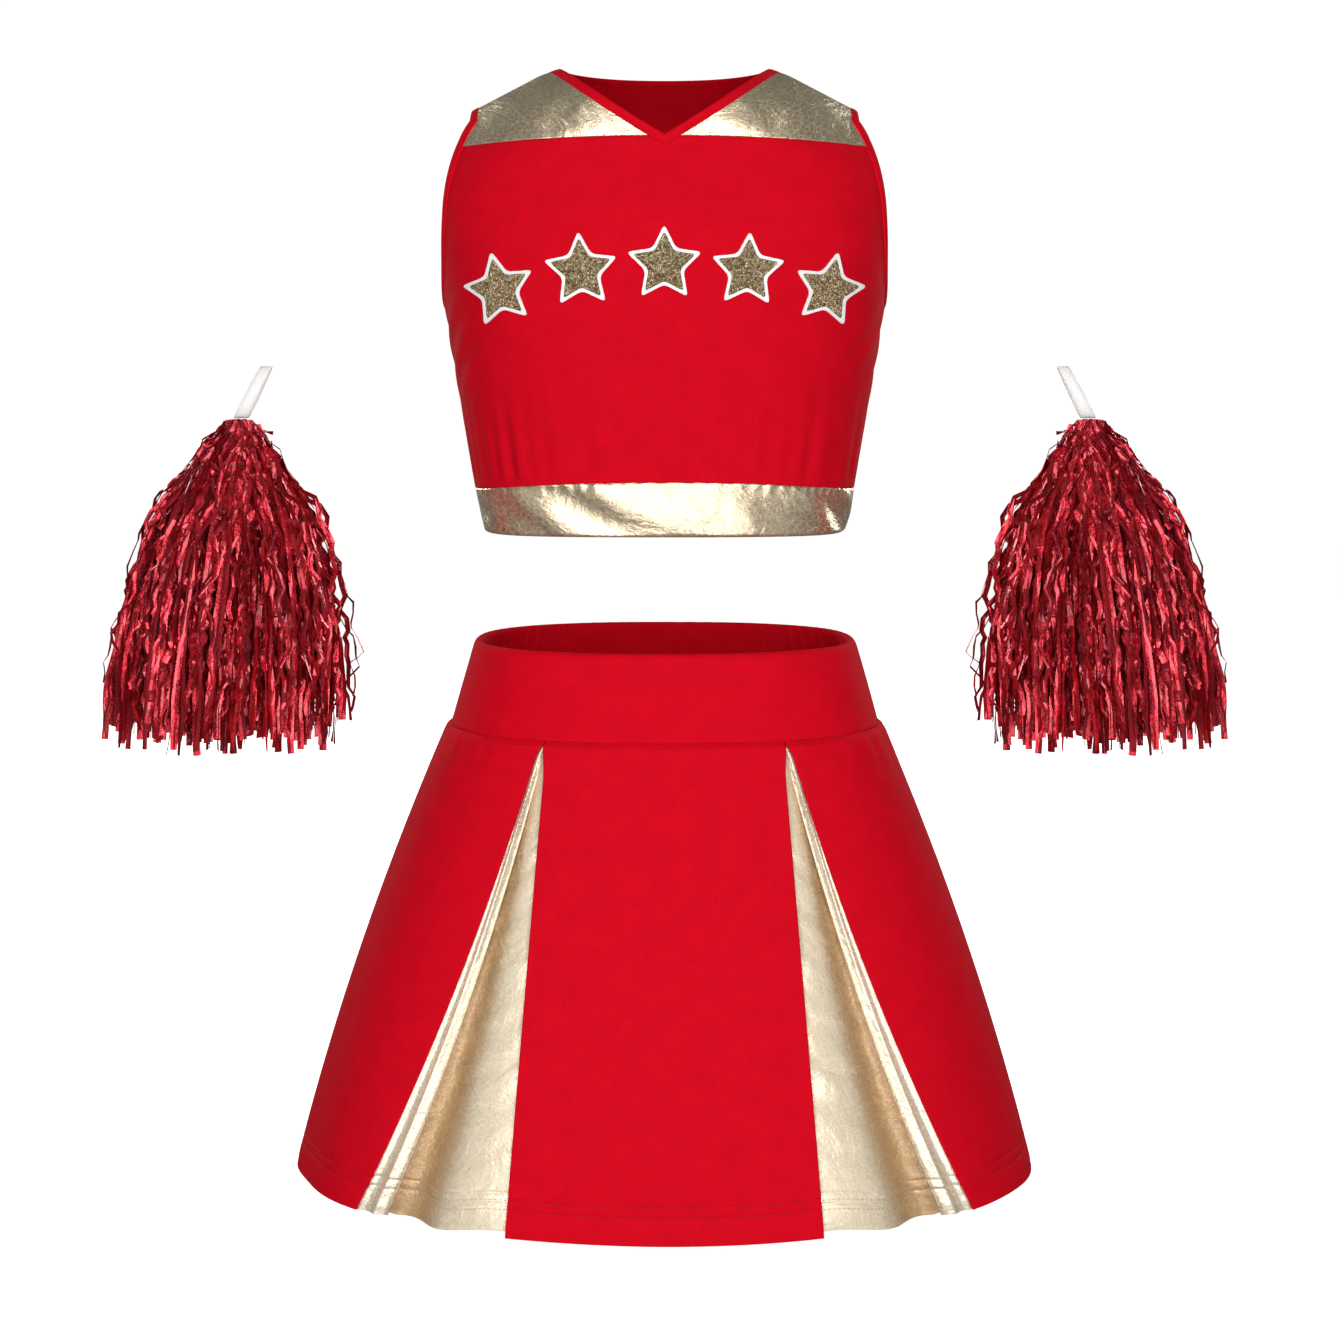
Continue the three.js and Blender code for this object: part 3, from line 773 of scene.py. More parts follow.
def stitches(points, normals, length, pitch, radius):
    """Short thread stitches along a line of points that lies on cloth."""
    step = np.linalg.norm(np.diff(points, axis=0), axis=1)
    along = np.concatenate([[0], step.cumsum()])
    count = max(int(along[-1] / pitch), 1)
    starts = np.arange(count) * pitch + (pitch - length) / 2
    rows, sides = len(STITCH_SWELL), 6
    shares = np.linspace(0, 1, rows)
    ring = np.linspace(0, FULL_TURN, sides, endpoint=False)
    at = starts[:, None] + shares[None] * length

    def along_line(values):
        return np.stack([np.interp(at, along, values[:, k]) for k in range(3)], -1)

    path, up = along_line(points), along_line(normals)
    up /= np.linalg.norm(up, axis=-1, keepdims=True)
    forward = np.gradient(path, axis=1)
    forward /= np.linalg.norm(forward, axis=-1, keepdims=True)
    side = np.cross(forward, up)
    arch = np.sin(shares * math.pi)[None, :, None]
    swell = np.array(STITCH_SWELL)[None, :, None, None]
    centre = path + up * radius * (arch * 0.9 - 0.35)
    circle = np.cos(ring)[:, None] * side[..., None, :] + np.sin(ring)[:, None] * up[..., None, :]
    rings = centre[..., None, :] + radius * swell * circle
    cap = np.array([[0, 1, 2, 3], [0, 3, 4, 5]])
    faces = np.concatenate([grid_faces(rows, sides, closed_columns=True), cap, cap + (rows - 1) * sides])
    return [(one, faces, np.zeros((rows * sides, 2))) for one in rings]


def stitch_line(name, lines, kind, body, blend=None):
    """One piece that holds every stitch of several (points, normals) lines."""
    parts = []
    for points, normals in lines:
        parts += stitches(points, normals, STITCH_LENGTH, STITCH_PITCH, THREAD_RADIUS)
    piece = joined(name, parts)
    orient(piece)
    return dress(piece, kind, body, blend=blend)


def line_on(surface, steps, outward=(0, 0, 0)):
    """Points and normals along surface(t, side), side being a small step off the line."""
    t = np.linspace(0, 1, steps)
    points = surface(t, 0.0)
    beside = surface(t, 1.0)
    tangent = np.gradient(points, axis=0)
    normal = np.cross(tangent, beside - points)
    normal /= np.maximum(np.linalg.norm(normal, axis=1, keepdims=True), 1e-12)
    away = points - np.asarray(outward, float)
    if np.sum(normal * away * (1, 1, 0)) < 0:
        normal = -normal
    return points, normal


# ---- Crop top ----

GATHER = waves(3, 5, 0.011, 0.03)
DRAG = waves(5, 4, 0.05, 0.11)
TORSO_AXIS_DISTANCE = 0.1


def torso_relief(angle, z, facing):
    """How far the worn cloth lifts off a plain surface: gathers over the band and slack under the arms."""
    along = angle * TORSO_AXIS_DISTANCE
    over_band = 1 - smooth(0.0, 0.075, z - top_seam_z(angle))
    off_seams = smooth(0.0, 0.3, np.cos(angle))
    at_band = smooth(0.0, 0.012, z - top_seam_z(angle))
    gathers = GATHER(along + facing) * over_band * at_band * off_seams
    chest = smooth(0.10, 0.16, z) * smooth(0.33, 0.28, z)
    slack = DRAG(along * 0.8 + z * 0.55 + facing * 2) * chest * off_seams
    under_arm = np.exp(-(((z - 0.19) / 0.03) ** 2)) * smooth(0.7, 1.3, np.abs(angle))
    dart = under_arm * np.sin(along * 210 - z * 260) * 0.7
    return (gathers * 1.0 + slack * 0.55 + dart * 0.8) * MM


def lifted(points, relief):
    """A grid on the torso, each point moved outwards by its relief."""
    normals = grid_normals(points)
    if np.sum(normals * points * (1, 1, 0)) < 0:
        normals = -normals
    return points + normals * relief[..., None]


def torso_points(angle, z, facing):
    fade = smooth(0.0, 0.006, crest_z(angle) - z)
    return lifted(torso(angle, z, facing), torso_relief(angle, z, facing) * fade)


def body_panel(facing, columns, rows):
    """The grid of the front or back body panel, from the hem band's seam to its top edge."""
    binding, arm = NECK_BINDING * TUCKED, ARMHOLE_BINDING * TUCKED

    if facing < 0:
        corner_z = 0.3102
        reach = float(armhole_angle(np.array([corner_z]), arm)[0])

        def top_edge(t):
            angle = mix(-reach, reach, t)
            x = top_half_width(YOKE_SEAM_Z) * power(np.sin(angle), 2 / POWER)
            return angle, np.minimum(yoke_seam_z(x) - GAP / 2, neck_edge(x, facing, binding))

    else:
        reach = float(angle_at(SHOULDER_TIP[0] - arm, YOKE_HALF_WIDTH))
        corner_z = float(crest_z(reach)) - SHOULDER_GAP

        def top_edge(t):
            angle = mix(-reach, reach, t)
            x = YOKE_HALF_WIDTH * power(np.sin(angle), 2 / POWER)
            shoulder = crest_z(angle) - SHOULDER_GAP
            return angle, np.where(
                np.abs(x) < NECK_HALF_WIDTH + binding,
                np.minimum(neck_edge(x, facing, binding), shoulder),
                shoulder,
            )

    def side(sign):
        def edge(t):
            z = mix(float(top_seam_z(math.pi / 2)), corner_z, t)
            return sign * armhole_angle(z, arm), z

        return edge

    def bottom(t):
        angle = mix(-math.pi / 2, math.pi / 2, t)
        return angle, top_seam_z(angle) - GAP

    angle, z = patch(side(-1), side(1), bottom, top_edge, columns, rows, 1.0 if facing < 0 else 1.8)
    return torso_points(angle, z, facing)


def yoke_panel(columns, rows):
    """The left shoulder yoke's grid, from the yoke seam up to the shoulder line."""
    binding, arm = NECK_BINDING * TUCKED, ARMHOLE_BINDING * TUCKED
    xs = np.linspace(0.004, 0.04, 400)
    seam = yoke_seam_z(xs) + GAP / 2
    inner_x = float(xs[np.argmax(neck_edge(xs, -1, binding) > seam)])
    neck_x = NECK_HALF_WIDTH + binding
    low_z = 0.3105
    tip_angle = float(angle_at(SHOULDER_TIP[0] - arm, YOKE_HALF_WIDTH))
    neck_angle = float(angle_at(neck_x, YOKE_HALF_WIDTH))

    def neck_side(t):
        x = mix(inner_x, neck_x, t)
        z = neck_edge(x, -1, binding)
        widths = mix(top_half_width(z), YOKE_HALF_WIDTH, t)
        return -angle_at(x, widths), np.minimum(z, crest_z(angle_at(x, widths)) - SHOULDER_GAP)

    def arm_side(t):
        z = mix(low_z, float(crest_z(tip_angle)) - SHOULDER_GAP, t)
        return -np.where(t < 1, armhole_angle(z, arm), tip_angle), z

    start, end = neck_side(np.array([0.0])), arm_side(np.array([0.0]))

    def seam_edge(t):
        angle = mix(end[0][0], start[0][0], t)
        x = top_half_width(YOKE_SEAM_MIDDLE) * power(np.sin(angle), 2 / POWER)
        return angle, yoke_seam_z(x) + GAP / 2

    def shoulder(t):
        angle = mix(-tip_angle, -neck_angle, t)
        return angle, crest_z(angle) - SHOULDER_GAP

    angle, z = patch(arm_side, neck_side, seam_edge, shoulder, columns, rows, 1.9)
    crease = 0.7 * MM * DRAG(angle * 0.12 + z * 1.1) + 0.1 * MM * GATHER(angle * 0.09 - z * 0.5)
    fade = smooth(0.0, 0.01, crest_z(angle) - z) * smooth(0.311, 0.32, z)
    return lifted(torso(angle, z, FRONT_SIDE), crease * fade)


def binding_rings(inner, outer, across):
    """Rings of a folded binding between two edge lines. Each line gives (points, normals)."""
    (inner_points, inner_normals), (outer_points, outer_normals) = inner, outer
    share = np.array([w for w, _ in across])[None, :, None]
    height = np.array([h for _, h in across])[None, :, None] * MM
    # Over the shoulder line the binding is pressed flatter.
    height = height * (1 - 0.65 * smooth(0.25, 0.95, inner_normals[:, 2]))[:, None, None]
    points = mix(inner_points[:, None], outer_points[:, None], share)
    normals = mix(inner_normals[:, None], outer_normals[:, None], share)
    normals /= np.maximum(np.linalg.norm(normals, axis=-1, keepdims=True), 1e-9)
    return points + normals * height


# Across a binding, from its fold at the hole to its seam: (share of the width, height in mm).
BINDING_SECTION = [
    (0.0, -0.8), (-0.03, -0.3), (0.0, 0.3), (0.06, 0.75), (0.25, 1.0), (0.5, 1.05), (0.68, 0.95),
    (0.74, 0.55), (0.8, 0.8), (0.92, 0.7), (1.0, 0.2), (1.0, -1.2), (0.92, -1.9), (0.7, -2.1),
    (0.4, -2.2), (0.15, -2.0), (0.04, -1.5),
]


def over_shoulder(angle, turn):
    """The torso by turn, 0 on the shoulder line: the front is more than 0 and the back is less."""
    low = crest_z(angle) - SHOULDER_CURL
    bend = clamp(np.abs(turn), 0, math.pi / 2)
    z = low + SHOULDER_CURL * (np.cos(bend) - (np.abs(turn) - bend))
    x, y = section(angle, top_half_width(z), top_half_depth(z) * np.sin(bend) * np.sign(turn))
    return np.stack([x, y, z], -1)


def torso_line(angle, z, facing):
    """Points and outward normals on the torso along arrays of surface coordinates."""
    curl = 1 - (crest_z(angle) - z) / SHOULDER_CURL
    turn = np.where(curl > 0, np.arccos(clamp(curl)), math.pi / 2 - np.minimum(curl, 0)) * -facing
    step = 1e-3
    inner = np.clip(angle, -math.pi / 2 + 2 * step, math.pi / 2 - 2 * step)
    across = over_shoulder(inner + step, turn) - over_shoulder(inner - step, turn)
    along = over_shoulder(inner, turn + step) - over_shoulder(inner, turn - step)
    normals = np.cross(along, across)
    normals /= np.maximum(np.linalg.norm(normals, axis=1, keepdims=True), 1e-12)
    return over_shoulder(angle, turn), normals


def armhole_line(extra, steps):
    """The left armhole's edge, from the side seam up the front, over the shoulder and down the back."""
    rise = (1 - np.cos(np.linspace(0, math.pi, steps))) / 2
    low = ARMHOLE_Z - ARMHOLE_HALF_HEIGHT - extra
    tip_angle = float(angle_at(SHOULDER_TIP[0] - extra, YOKE_HALF_WIDTH))
    high = float(crest_z(tip_angle))
    z = mix(low, high, rise)
    angle = -np.where(rise < 1, armhole_angle(z, extra), tip_angle)
    z_all = np.concatenate([z, z[-2:0:-1]])
    angle_all = np.concatenate([angle, angle[-2:0:-1]])
    facing = np.concatenate([-np.ones(steps), np.ones(steps - 2)])
    return torso_line(angle_all, z_all, facing)


def neck_line(extra, steps):
    """The neckline's edge, from the left shoulder down the V, up to the right one, and round the back."""
    half = NECK_HALF_WIDTH + extra
    front = half * np.sin(np.linspace(-math.pi / 2, math.pi / 2, 2 * steps - 1))
    back = -front[1:-1]
    x = np.concatenate([front, back])
    facing = np.concatenate([-np.ones(len(front)), np.ones(len(back))])
    z = np.where(facing < 0, neck_edge(x, -1, extra), neck_edge(x, 1, extra))
    width = top_half_width(np.minimum(z, YOKE_SEAM_MIDDLE))
    angle = angle_at(x, width)
    return torso_line(angle, np.minimum(z, crest_z(angle)), facing)


def make_binding(name, inner, outer):
    rings = binding_rings(inner, outer, BINDING_SECTION)
    length = np.linalg.norm(np.diff(inner[0], axis=0, append=inner[0][:1]), axis=1).cumsum()
    across = np.linspace(0, 0.02, rings.shape[1])
    uv = np.stack(np.broadcast_arrays(across[None, :], length[:, None]), -1)
    return swept(name, rings, closed=True, uv=uv)


CASING_THICKNESS = 5.2 * MM


def casing_rings(place, angles, folds):
    """Rings of a folded casing: its section is an outer face, a rounded fold and an inner face."""
    outer_rows, inner_rows = 26, 10
    fold_levels, fold_depths = (0.03, 0.01, 0.0, 0.0, 0.01, 0.03), (0.06, 0.2, 0.38, 0.62, 0.8, 0.94)
    outer, inner = np.linspace(1, 0.06, outer_rows), np.linspace(0.06, 1, inner_rows)
    levels = np.concatenate([outer, fold_levels, inner])
    inset = CASING_THICKNESS * np.concatenate([np.zeros(outer_rows), fold_depths, np.ones(inner_rows)])
    angle, level = np.meshgrid(angles, levels, indexing="ij")
    depth = np.broadcast_to(inset, level.shape)
    lift = folds(angle, level) * np.where(depth < CASING_THICKNESS / 2, 1.0, 0.6)
    return place(angle, level, depth - lift)


def half_angles(facing, steps):
    turn = 0 if facing < 0 else math.pi
    margin = math.pi / 2 - SEAM_MARGIN
    return np.linspace(turn - margin, turn + margin, steps)


def on_hem_band(angle, level, inset):
    z = mix(top_hem_z(angle), top_seam_z(angle), level)
    x, y = section(angle, top_half_width(z) - inset, top_half_depth(z) - inset)
    return np.stack([x, y, z], -1)


def on_waistband(angle, level, inset):
    half_width = mix(WAIST_TOP[0], WAIST_SEAM[0], level) - inset
    half_depth = mix(WAIST_TOP[1], WAIST_SEAM[1], level) - inset
    x, y = section(angle, half_width, half_depth)
    return np.stack([x, y, mix(0.0, SEAM_Z, level) + 0 * x], -1)


def casing(name, place, facing, folds, steps=260):
    """A folded casing round the front or the back half, and the rings that it was made of."""
    rings = casing_rings(place, half_angles(facing, steps), folds)
    step = np.linalg.norm(np.diff(rings, axis=0), axis=-1).cumsum(0)
    along = np.concatenate([np.zeros((1, rings.shape[1])), step], 0)
    ring_step = np.linalg.norm(np.diff(rings, axis=1), axis=-1).cumsum(1)
    up = np.concatenate([np.zeros((len(rings), 1)), ring_step], 1)
    return swept(name, rings, uv=np.stack([along, up], -1)), rings


BAND_FOLDS = waves(11, 4, 0.045, 0.10)
BAND_PUCKER = waves(12, 6, 0.006, 0.016)


def band_folds(angle, level):
    """Soft drag folds across the foil band, and fine puckers at its seam."""
    along = angle * TORSO_AXIS_DISTANCE
    drag = BAND_FOLDS(along + level * 0.035) * np.sin(math.pi * clamp(level, 0, 1)) ** 0.6
    pucker = BAND_PUCKER(along) * smooth(0.75, 1.0, level)
    return (1.7 * drag + 0.4 * pucker) * off_left_seam(angle) * MM


WAIST_RUCHE = waves(21, 7, 0.005, 0.012)


def waist_folds(angle, level):
    """The waistband lies smooth in front; its elastic draws fine vertical gathers towards the back."""
    along = angle * 0.11
    around = smooth(1.1, 1.9, np.abs(((angle + math.pi) % (FULL_TURN)) - math.pi))
    gather = WAIST_RUCHE(along) * around * np.sin(math.pi * clamp(level * 0.9 + 0.05)) ** 0.5
    soft = DRAG(along * 1.3 + level * 0.02) * 0.25
    return (0.85 * gather + soft) * off_left_seam(angle) * MM


class UniformLooks(bpy.types.PropertyGroup):
    """Colours that a maker would change."""

    red: bpy.props.FloatVectorProperty(
        name="Knit", description="Red of the knit", subtype="COLOR", size=3, default=(0.695, 0.0016, 0.013)
    )
    gold: bpy.props.FloatVectorProperty(
        name="Foil", description="Gold of the foil", subtype="COLOR", size=3, default=(1.0, 0.83, 0.57)
    )
    tinsel: bpy.props.FloatVectorProperty(
        name="Tinsel", description="Red of the tinsel", subtype="COLOR", size=3, default=(0.66, 0.026, 0.045)
    )


class UniformSizes(bpy.types.PropertyGroup):
    """Sizes and counts of the finished detail."""

    strand_count: bpy.props.IntProperty(
        name="Crinkled strands", description="Crinkled strips on each pom-pom", default=430, min=1
    )
    straight_count: bpy.props.IntProperty(
        name="Straight strands", description="Flat strips on each pom-pom", default=230, min=1
    )
    strand_width: bpy.props.FloatProperty(
        name="Strip width", description="Width of a tinsel strip", default=4.2 * MM, unit="LENGTH"
    )


class UniformOperator:
    """What every maker's step has in common."""

    bl_options = {"REGISTER", "UNDO"}

    def execute(self, context):
        self.make(context.scene.uniform_sizes)
        return {"FINISHED"}


class UNIFORM_OT_body(UniformOperator, bpy.types.Operator):
    """Front and back body panels of the crop top"""

    bl_idname = "uniform.body"
    bl_label = "Crop top body"

    def make(self, sizes):
        for facing, node in ((-1, "top_front"), (1, "top_back")):
            points = body_panel(facing, 300, 200)
            piece = cloth(node.replace("top_", "body_panel_"), points, (0, 0, 0.2))
            dress(piece, "knit", "top", [node])
            declare(points)


def surface_area(points):
    """Area of a grid of points."""
    a = points[1:, 1:] - points[:-1, :-1]
    b = points[1:, :-1] - points[:-1, 1:]
    return float(np.linalg.norm(np.cross(a, b), axis=-1).sum() / 2)


def declare(points):
    """Works out the width, length and area of the flat piece that a sheet of cloth was cut from, and keeps
    none of them.
    """
    rows = np.linalg.norm(np.diff(points, axis=1), axis=-1).sum(1)
    columns = np.linalg.norm(np.diff(points, axis=0), axis=-1).sum(0)
    width, length = float(rows.max()), float(columns.max())
    area = min(surface_area(points), width * length)


class UNIFORM_OT_yokes(UniformOperator, bpy.types.Operator):
    """Foil shoulder yokes"""

    bl_idname = "uniform.yokes"
    bl_label = "Shoulder yokes"

    def make(self, sizes):
        left = yoke_panel(110, 90)
        for side, points in (("left", left), ("right", left * (-1, 1, 1))):
            piece = cloth(f"yoke_{side}", points, (0, 0, 0.2))
            dress(piece, "foil", "top", [f"shoulder_yoke_{side}"])
            declare(points)


class UNIFORM_OT_bindings(UniformOperator, bpy.types.Operator):
    """Knit bindings round the neck and the armholes"""

    bl_idname = "uniform.bindings"
    bl_label = "Bindings"

    def make(self, sizes):
        steps = 120
        piece = make_binding("neck_edge", neck_line(0.0, steps), neck_line(NECK_BINDING, steps))
        dress(piece, "knit", "top", ["neck_binding"])
        inner, outer = armhole_line(0.0, steps), armhole_line(ARMHOLE_BINDING, steps)
        for side, flip in (("left", (1, 1, 1)), ("right", (-1, 1, 1))):
            lines = [(points * flip, normals * flip) for points, normals in (inner, outer)]
            piece = make_binding(f"armhole_edge_{side}", *lines)
            dress(piece, "knit", "top", [f"armhole_binding_{side}"])


class UNIFORM_OT_hem_band(UniformOperator, bpy.types.Operator):
    """Foil hem band of the crop top"""

    bl_idname = "uniform.hem_band"
    bl_label = "Hem band"

    def make(self, sizes):
        for facing, node in ((-1, "hem_band_front"), (1, "hem_band_back")):
            name = node.replace("hem_band", "foil_band")
            piece, rings = casing(name, on_hem_band, facing, band_folds)
            dress(piece, "foil", "top", [node])
        refinish(bpy.data.objects["hem_elastic"], "elastic")


def star_outline(radius, corner_share, rounding):
    """A five-pointed star's outline with softened corners, as points (x, z)."""
    corners = []
    for i in range(10):
        reach = radius * (corner_share if i % 2 else 1.0)
        turn = math.pi / 2 + i * math.pi / 5
        corners.append((reach * math.cos(turn), reach * math.sin(turn)))
    corners = np.array(corners)
    line = []
    for i, corner in enumerate(corners):
        before, after = corners[i - 1], corners[(i + 1) % 10]
        start = corner + (before - corner) / np.linalg.norm(before - corner) * rounding
        end = corner + (after - corner) / np.linalg.norm(after - corner) * rounding
        t = np.linspace(0, 1, 6)[:, None]
        line.append((1 - t) ** 2 * start + 2 * t * (1 - t) * corner + t**2 * end)
    return np.concatenate(line)


def on_chest(flat, lift):
    """Points of a flat outline laid on the chest, lift off its cloth."""
    x, z = flat[:, 0], flat[:, 1]
    angle = angle_at(x, top_half_width(z))
    return torso(angle, z, FRONT_SIDE, lift + torso_relief(angle, z, FRONT_SIDE))


FILM_BASE = 0.15 * MM
FILM_BEVEL = 0.25 * MM
FILM_SHARES = np.linspace(0, 1, 12)[1:-1]


def film_face(outline, target, thickness, reach):
    """(outline, lift) layers up a film's edge and over its face, shrinking from outline towards target."""
    size = np.linalg.norm(outline - target, axis=1).mean()
    top = FILM_BASE + thickness
    low = FILM_BASE + thickness * 0.75
    layers = [(outline, FILM_BASE), (outline, low), (mix(outline, target, FILM_BEVEL / size), top)]
    return layers + [(mix(outline, target, share * reach), top) for share in FILM_SHARES]


def film_ring(name, outline, hole, thickness):
    """A film border on the chest, between an outline and its hole."""
    size = np.linalg.norm(outline - hole, axis=1).mean()
    inner = 1 - FILM_BEVEL / size
    top = FILM_BASE + thickness
    layers = film_face(outline, hole, thickness, inner)
    layers += [(mix(outline, hole, inner), top), (hole, FILM_BASE + thickness * 0.75), (hole, FILM_BASE)]
    rings = np.stack([on_chest(flat, lift) for flat, lift in layers])
    faces = grid_faces(len(rings), rings.shape[1], closed_rows=True, closed_columns=True)
    piece = new_object(name, rings, faces)
    orient(piece)
    return piece


def film_disc(name, outline, thickness):
    """A film shape on the chest, closed to a point in its middle on both faces."""
    middle = outline.mean(0) + np.zeros_like(outline)
    reach = 0.98
    layers = [(mix(outline, middle, share * reach), FILM_BASE) for share in FILM_SHARES[::-1]]
    layers += film_face(outline, middle, thickness, reach)
    rings = np.stack([on_chest(flat, lift) for flat, lift in layers])
    count, size = rings.shape[:2]
    low_point, top_point = (on_chest(middle[:1], lift) for lift in (FILM_BASE, FILM_BASE + thickness))
    points = np.concatenate([rings.reshape(-1, 3), low_point, top_point])
    faces = [list(f) for f in grid_faces(count, size, closed_columns=True)]
    last = (count - 1) * size
    for i in range(size):
        after = (i + 1) % size
        faces.append([i, after, count * size])
        faces.append([last + i, last + after, count * size + 1])
    piece = new_object(name, points, faces)
    orient(piece)
    return piece


# The stars: how far apart, how high, how much the row's ends drop, and how far its end stars lean.
STAR_SPACING = 0.050
STAR_Z = 0.2375
STAR_ROW_DROP = 0.015
STAR_LEAN = math.radians(12)
STAR_RADIUS, STAR_ROUNDING = 0.0238, 0.0032
STAR_HOLE_RADIUS, STAR_HOLE_ROUNDING = 0.0196, 0.0024
STAR_CORNER_SHARE = 0.50


class UNIFORM_OT_stars(UniformOperator, bpy.types.Operator):
    """Arched row of glitter stars with white borders"""

    bl_idname = "uniform.stars"
    bl_label = "Star motif"

    def make(self, sizes):
        for number in range(1, 6):
            across = number - 3
            share = (across / 2) ** 2
            centre = np.array([across * STAR_SPACING, STAR_Z - STAR_ROW_DROP * share])
            tilt = -np.sign(across) * STAR_LEAN * share
            turn = np.array([[math.cos(tilt), -math.sin(tilt)], [math.sin(tilt), math.cos(tilt)]])

            def outline(radius, rounding):
                return star_outline(radius, STAR_CORNER_SHARE, rounding) @ turn.T + centre

            outer = outline(STAR_RADIUS, STAR_ROUNDING)
            inner = outline(STAR_HOLE_RADIUS, STAR_HOLE_ROUNDING)
            border = film_ring(f"star_edge_{number}", outer, inner, 0.9 * MM)
            dress(border, "film", "top", [f"star_border_{number}"])
            fill = outline(STAR_HOLE_RADIUS - GAP, STAR_HOLE_ROUNDING)
            glitter = film_disc(f"star_fill_{number}", fill, 0.95 * MM)
            dress(glitter, "glitter", "top", [f"star_glitter_{number}"])


class UNIFORM_OT_waistband(UniformOperator, bpy.types.Operator):
    """Waistband casing with its elastic"""

    bl_idname = "uniform.waistband"
    bl_label = "Waistband"

    def make(self, sizes):
        for facing, node in ((-1, "waistband_front"), (1, "waistband_back")):
            name = node.replace("waistband", "waist_casing")
            piece, rings = casing(name, on_waistband, facing, waist_folds)
            dress(piece, "knit", "skirt", [node])
        refinish(bpy.data.objects["waist_elastic"], "elastic")


HEM_ROWS = (17.5 * MM, 24 * MM)  # the twin needle's two rows, over the hem
PLEAT_HEM_ROWS = (14 * MM, 20 * MM)
SKIRT_MIDDLE = (0, 0, -0.2)  # a point that the skirt's cloth faces away from
SKIRT_FLARE = waves(31, 4, 0.09, 0.20)
SKIRT_GATHER = waves(32, 5, 0.012, 0.028)


def skirt_relief(angle, down):
    """Soft flares that deepen to the hem, fine ease at the waist, a roll at the hem and dips at the seams."""
    along = angle * 0.16
    front_flat = smooth(0.85, 0.45, np.cos(angle))
    flare = SKIRT_FLARE(along) * down**1.5 * (0.35 + 1.0 * front_flat) * off_left_seam(angle)
    at_waist = (1 - smooth(0.0, 0.12, down)) * smooth(0.0, 0.02, down)
    ease = SKIRT_GATHER(along * 0.8) * off_left_seam(angle) * at_waist * front_flat
    hem_roll = smooth(0.975, 1.0, down) * -0.5
    seam_roll = smooth(0.012, 0.0, down) * -2.6
    for row in HEM_ROWS:
        hem_roll = hem_roll - 0.55 * np.exp(-((((1 - down) * SKIRT_LENGTH - row) / (1.1 * MM)) ** 2))
    from_seam = 0.12 * np.abs(np.cos(angle)) ** (2 / POWER)
    seam_dip = -0.8 * np.exp(-((from_seam / (2 * MM)) ** 2))
    return (1.9 * flare + 0.6 * ease + hem_roll + seam_roll + seam_dip) * MM


def skirt_grid(from_angle, to_angle, columns, rows, inset=None, shorten=None):
    """A skirt panel's grid between two edges, each edge(down) giving its angle."""
    hem_rows, waist_end, hem_start = rows // 3, 0.03, 0.9
    waist = np.linspace(0, waist_end, 12)
    drop = np.linspace(waist_end, hem_start, rows - hem_rows)
    hem = np.linspace(hem_start, 1, hem_rows)
    down = np.unique(np.concatenate([waist, drop, hem]))[:, None] * np.ones((1, columns))
    share = np.linspace(0, 1, columns)[None] * np.ones((len(down), 1))
    angle = mix(from_angle(down), to_angle(down), share)
    deep = 0.0 if inset is None else inset(share, down)
    points = on_skirt(angle, down, skirt_relief(angle, down) - deep)
    if shorten:
        points[..., 2] += shorten(share) * down
    return points[::-1]


def hem_lines(from_angle, to_angle, depths, steps, inset=None, shorten=None):
    """Lines over a hem, each so far above its edge, with the cloth's normals."""
    lines = []
    for depth in depths:
        level = 1 - depth / SKIRT_LENGTH

        def surface(t, beside):
            down = np.full_like(t, level - beside * 0.004)
            angle = mix(from_angle(down), to_angle(down), 0.004 + 0.992 * t)
            deep = 0.0 if inset is None else inset(t, down)
            points = on_skirt(angle, down, skirt_relief(angle, down) - deep)
            points[..., 2] += (shorten(t) if shorten else 0.0) * down
            return points

        lines.append(line_on(surface, steps))
    return lines


def seam_angle(down):
    return np.full_like(down, SIDE - SEAM_MARGIN)


def side_seam(sign):
    """A panel's edge at a side seam, seen from the front: edge(down) gives its angle."""

    def edge(down):
        return sign * seam_angle(down)

    return edge


def back_seam(sign):
    """The back panel's edge at a side seam."""

    def edge(down):
        return math.pi + sign * seam_angle(down)

    return edge


def edge_at(sign, distance, shift=0.0):
    """A panel's edge at distance(down) from the middle of the front, moved out by shift."""

    def edge(down):
        return sign * skirt_angle(distance(down) + shift, down)

    return edge


class UNIFORM_OT_skirt_panels(UniformOperator, bpy.types.Operator):
    """Front, side and back panels of the skirt"""

    bl_idname = "uniform.skirt_panels"
    bl_label = "Skirt panels"

    def make(self, sizes):
        edges = [edge_at(sign, front_edge) for sign in (-1, 1)]
        points = skirt_grid(*edges, 160, 180)
        self.panel("front_panel", "", points, edges, "front_panel", "skirt_front_panel", "waist_casing_front")
        for side, sign in (("left", -1), ("right", 1)):
            edges = [edge_at(sign, pleat_edge), side_seam(sign)]
            points = skirt_grid(*edges, 150, 180)
            node = f"skirt_side_panel_{side}"
            self.panel("side_panel", f"_{side}", points, edges, "skirt", node, "waist_casing_front")
        edges = [back_seam(sign) for sign in (-1, 1)]
        points = skirt_grid(*edges, 260, 180)
        self.panel("back_panel", "", points, edges, "skirt", "skirt_back_panel", "waist_casing_back", 320)

    def panel(self, name, side, points, edges, body, node, hangs_from, steps=160):
        """A panel's cloth with the twin rows of its hem."""
        piece = cloth(f"{name}_cloth{side}", points, SKIRT_MIDDLE)
        dress(piece, "knit", body, [node])
        rows = hem_lines(*edges, HEM_ROWS, steps)
        stitching = stitch_line(f"{name}_stitching{side}", rows, "red thread", body)
        declare(points)


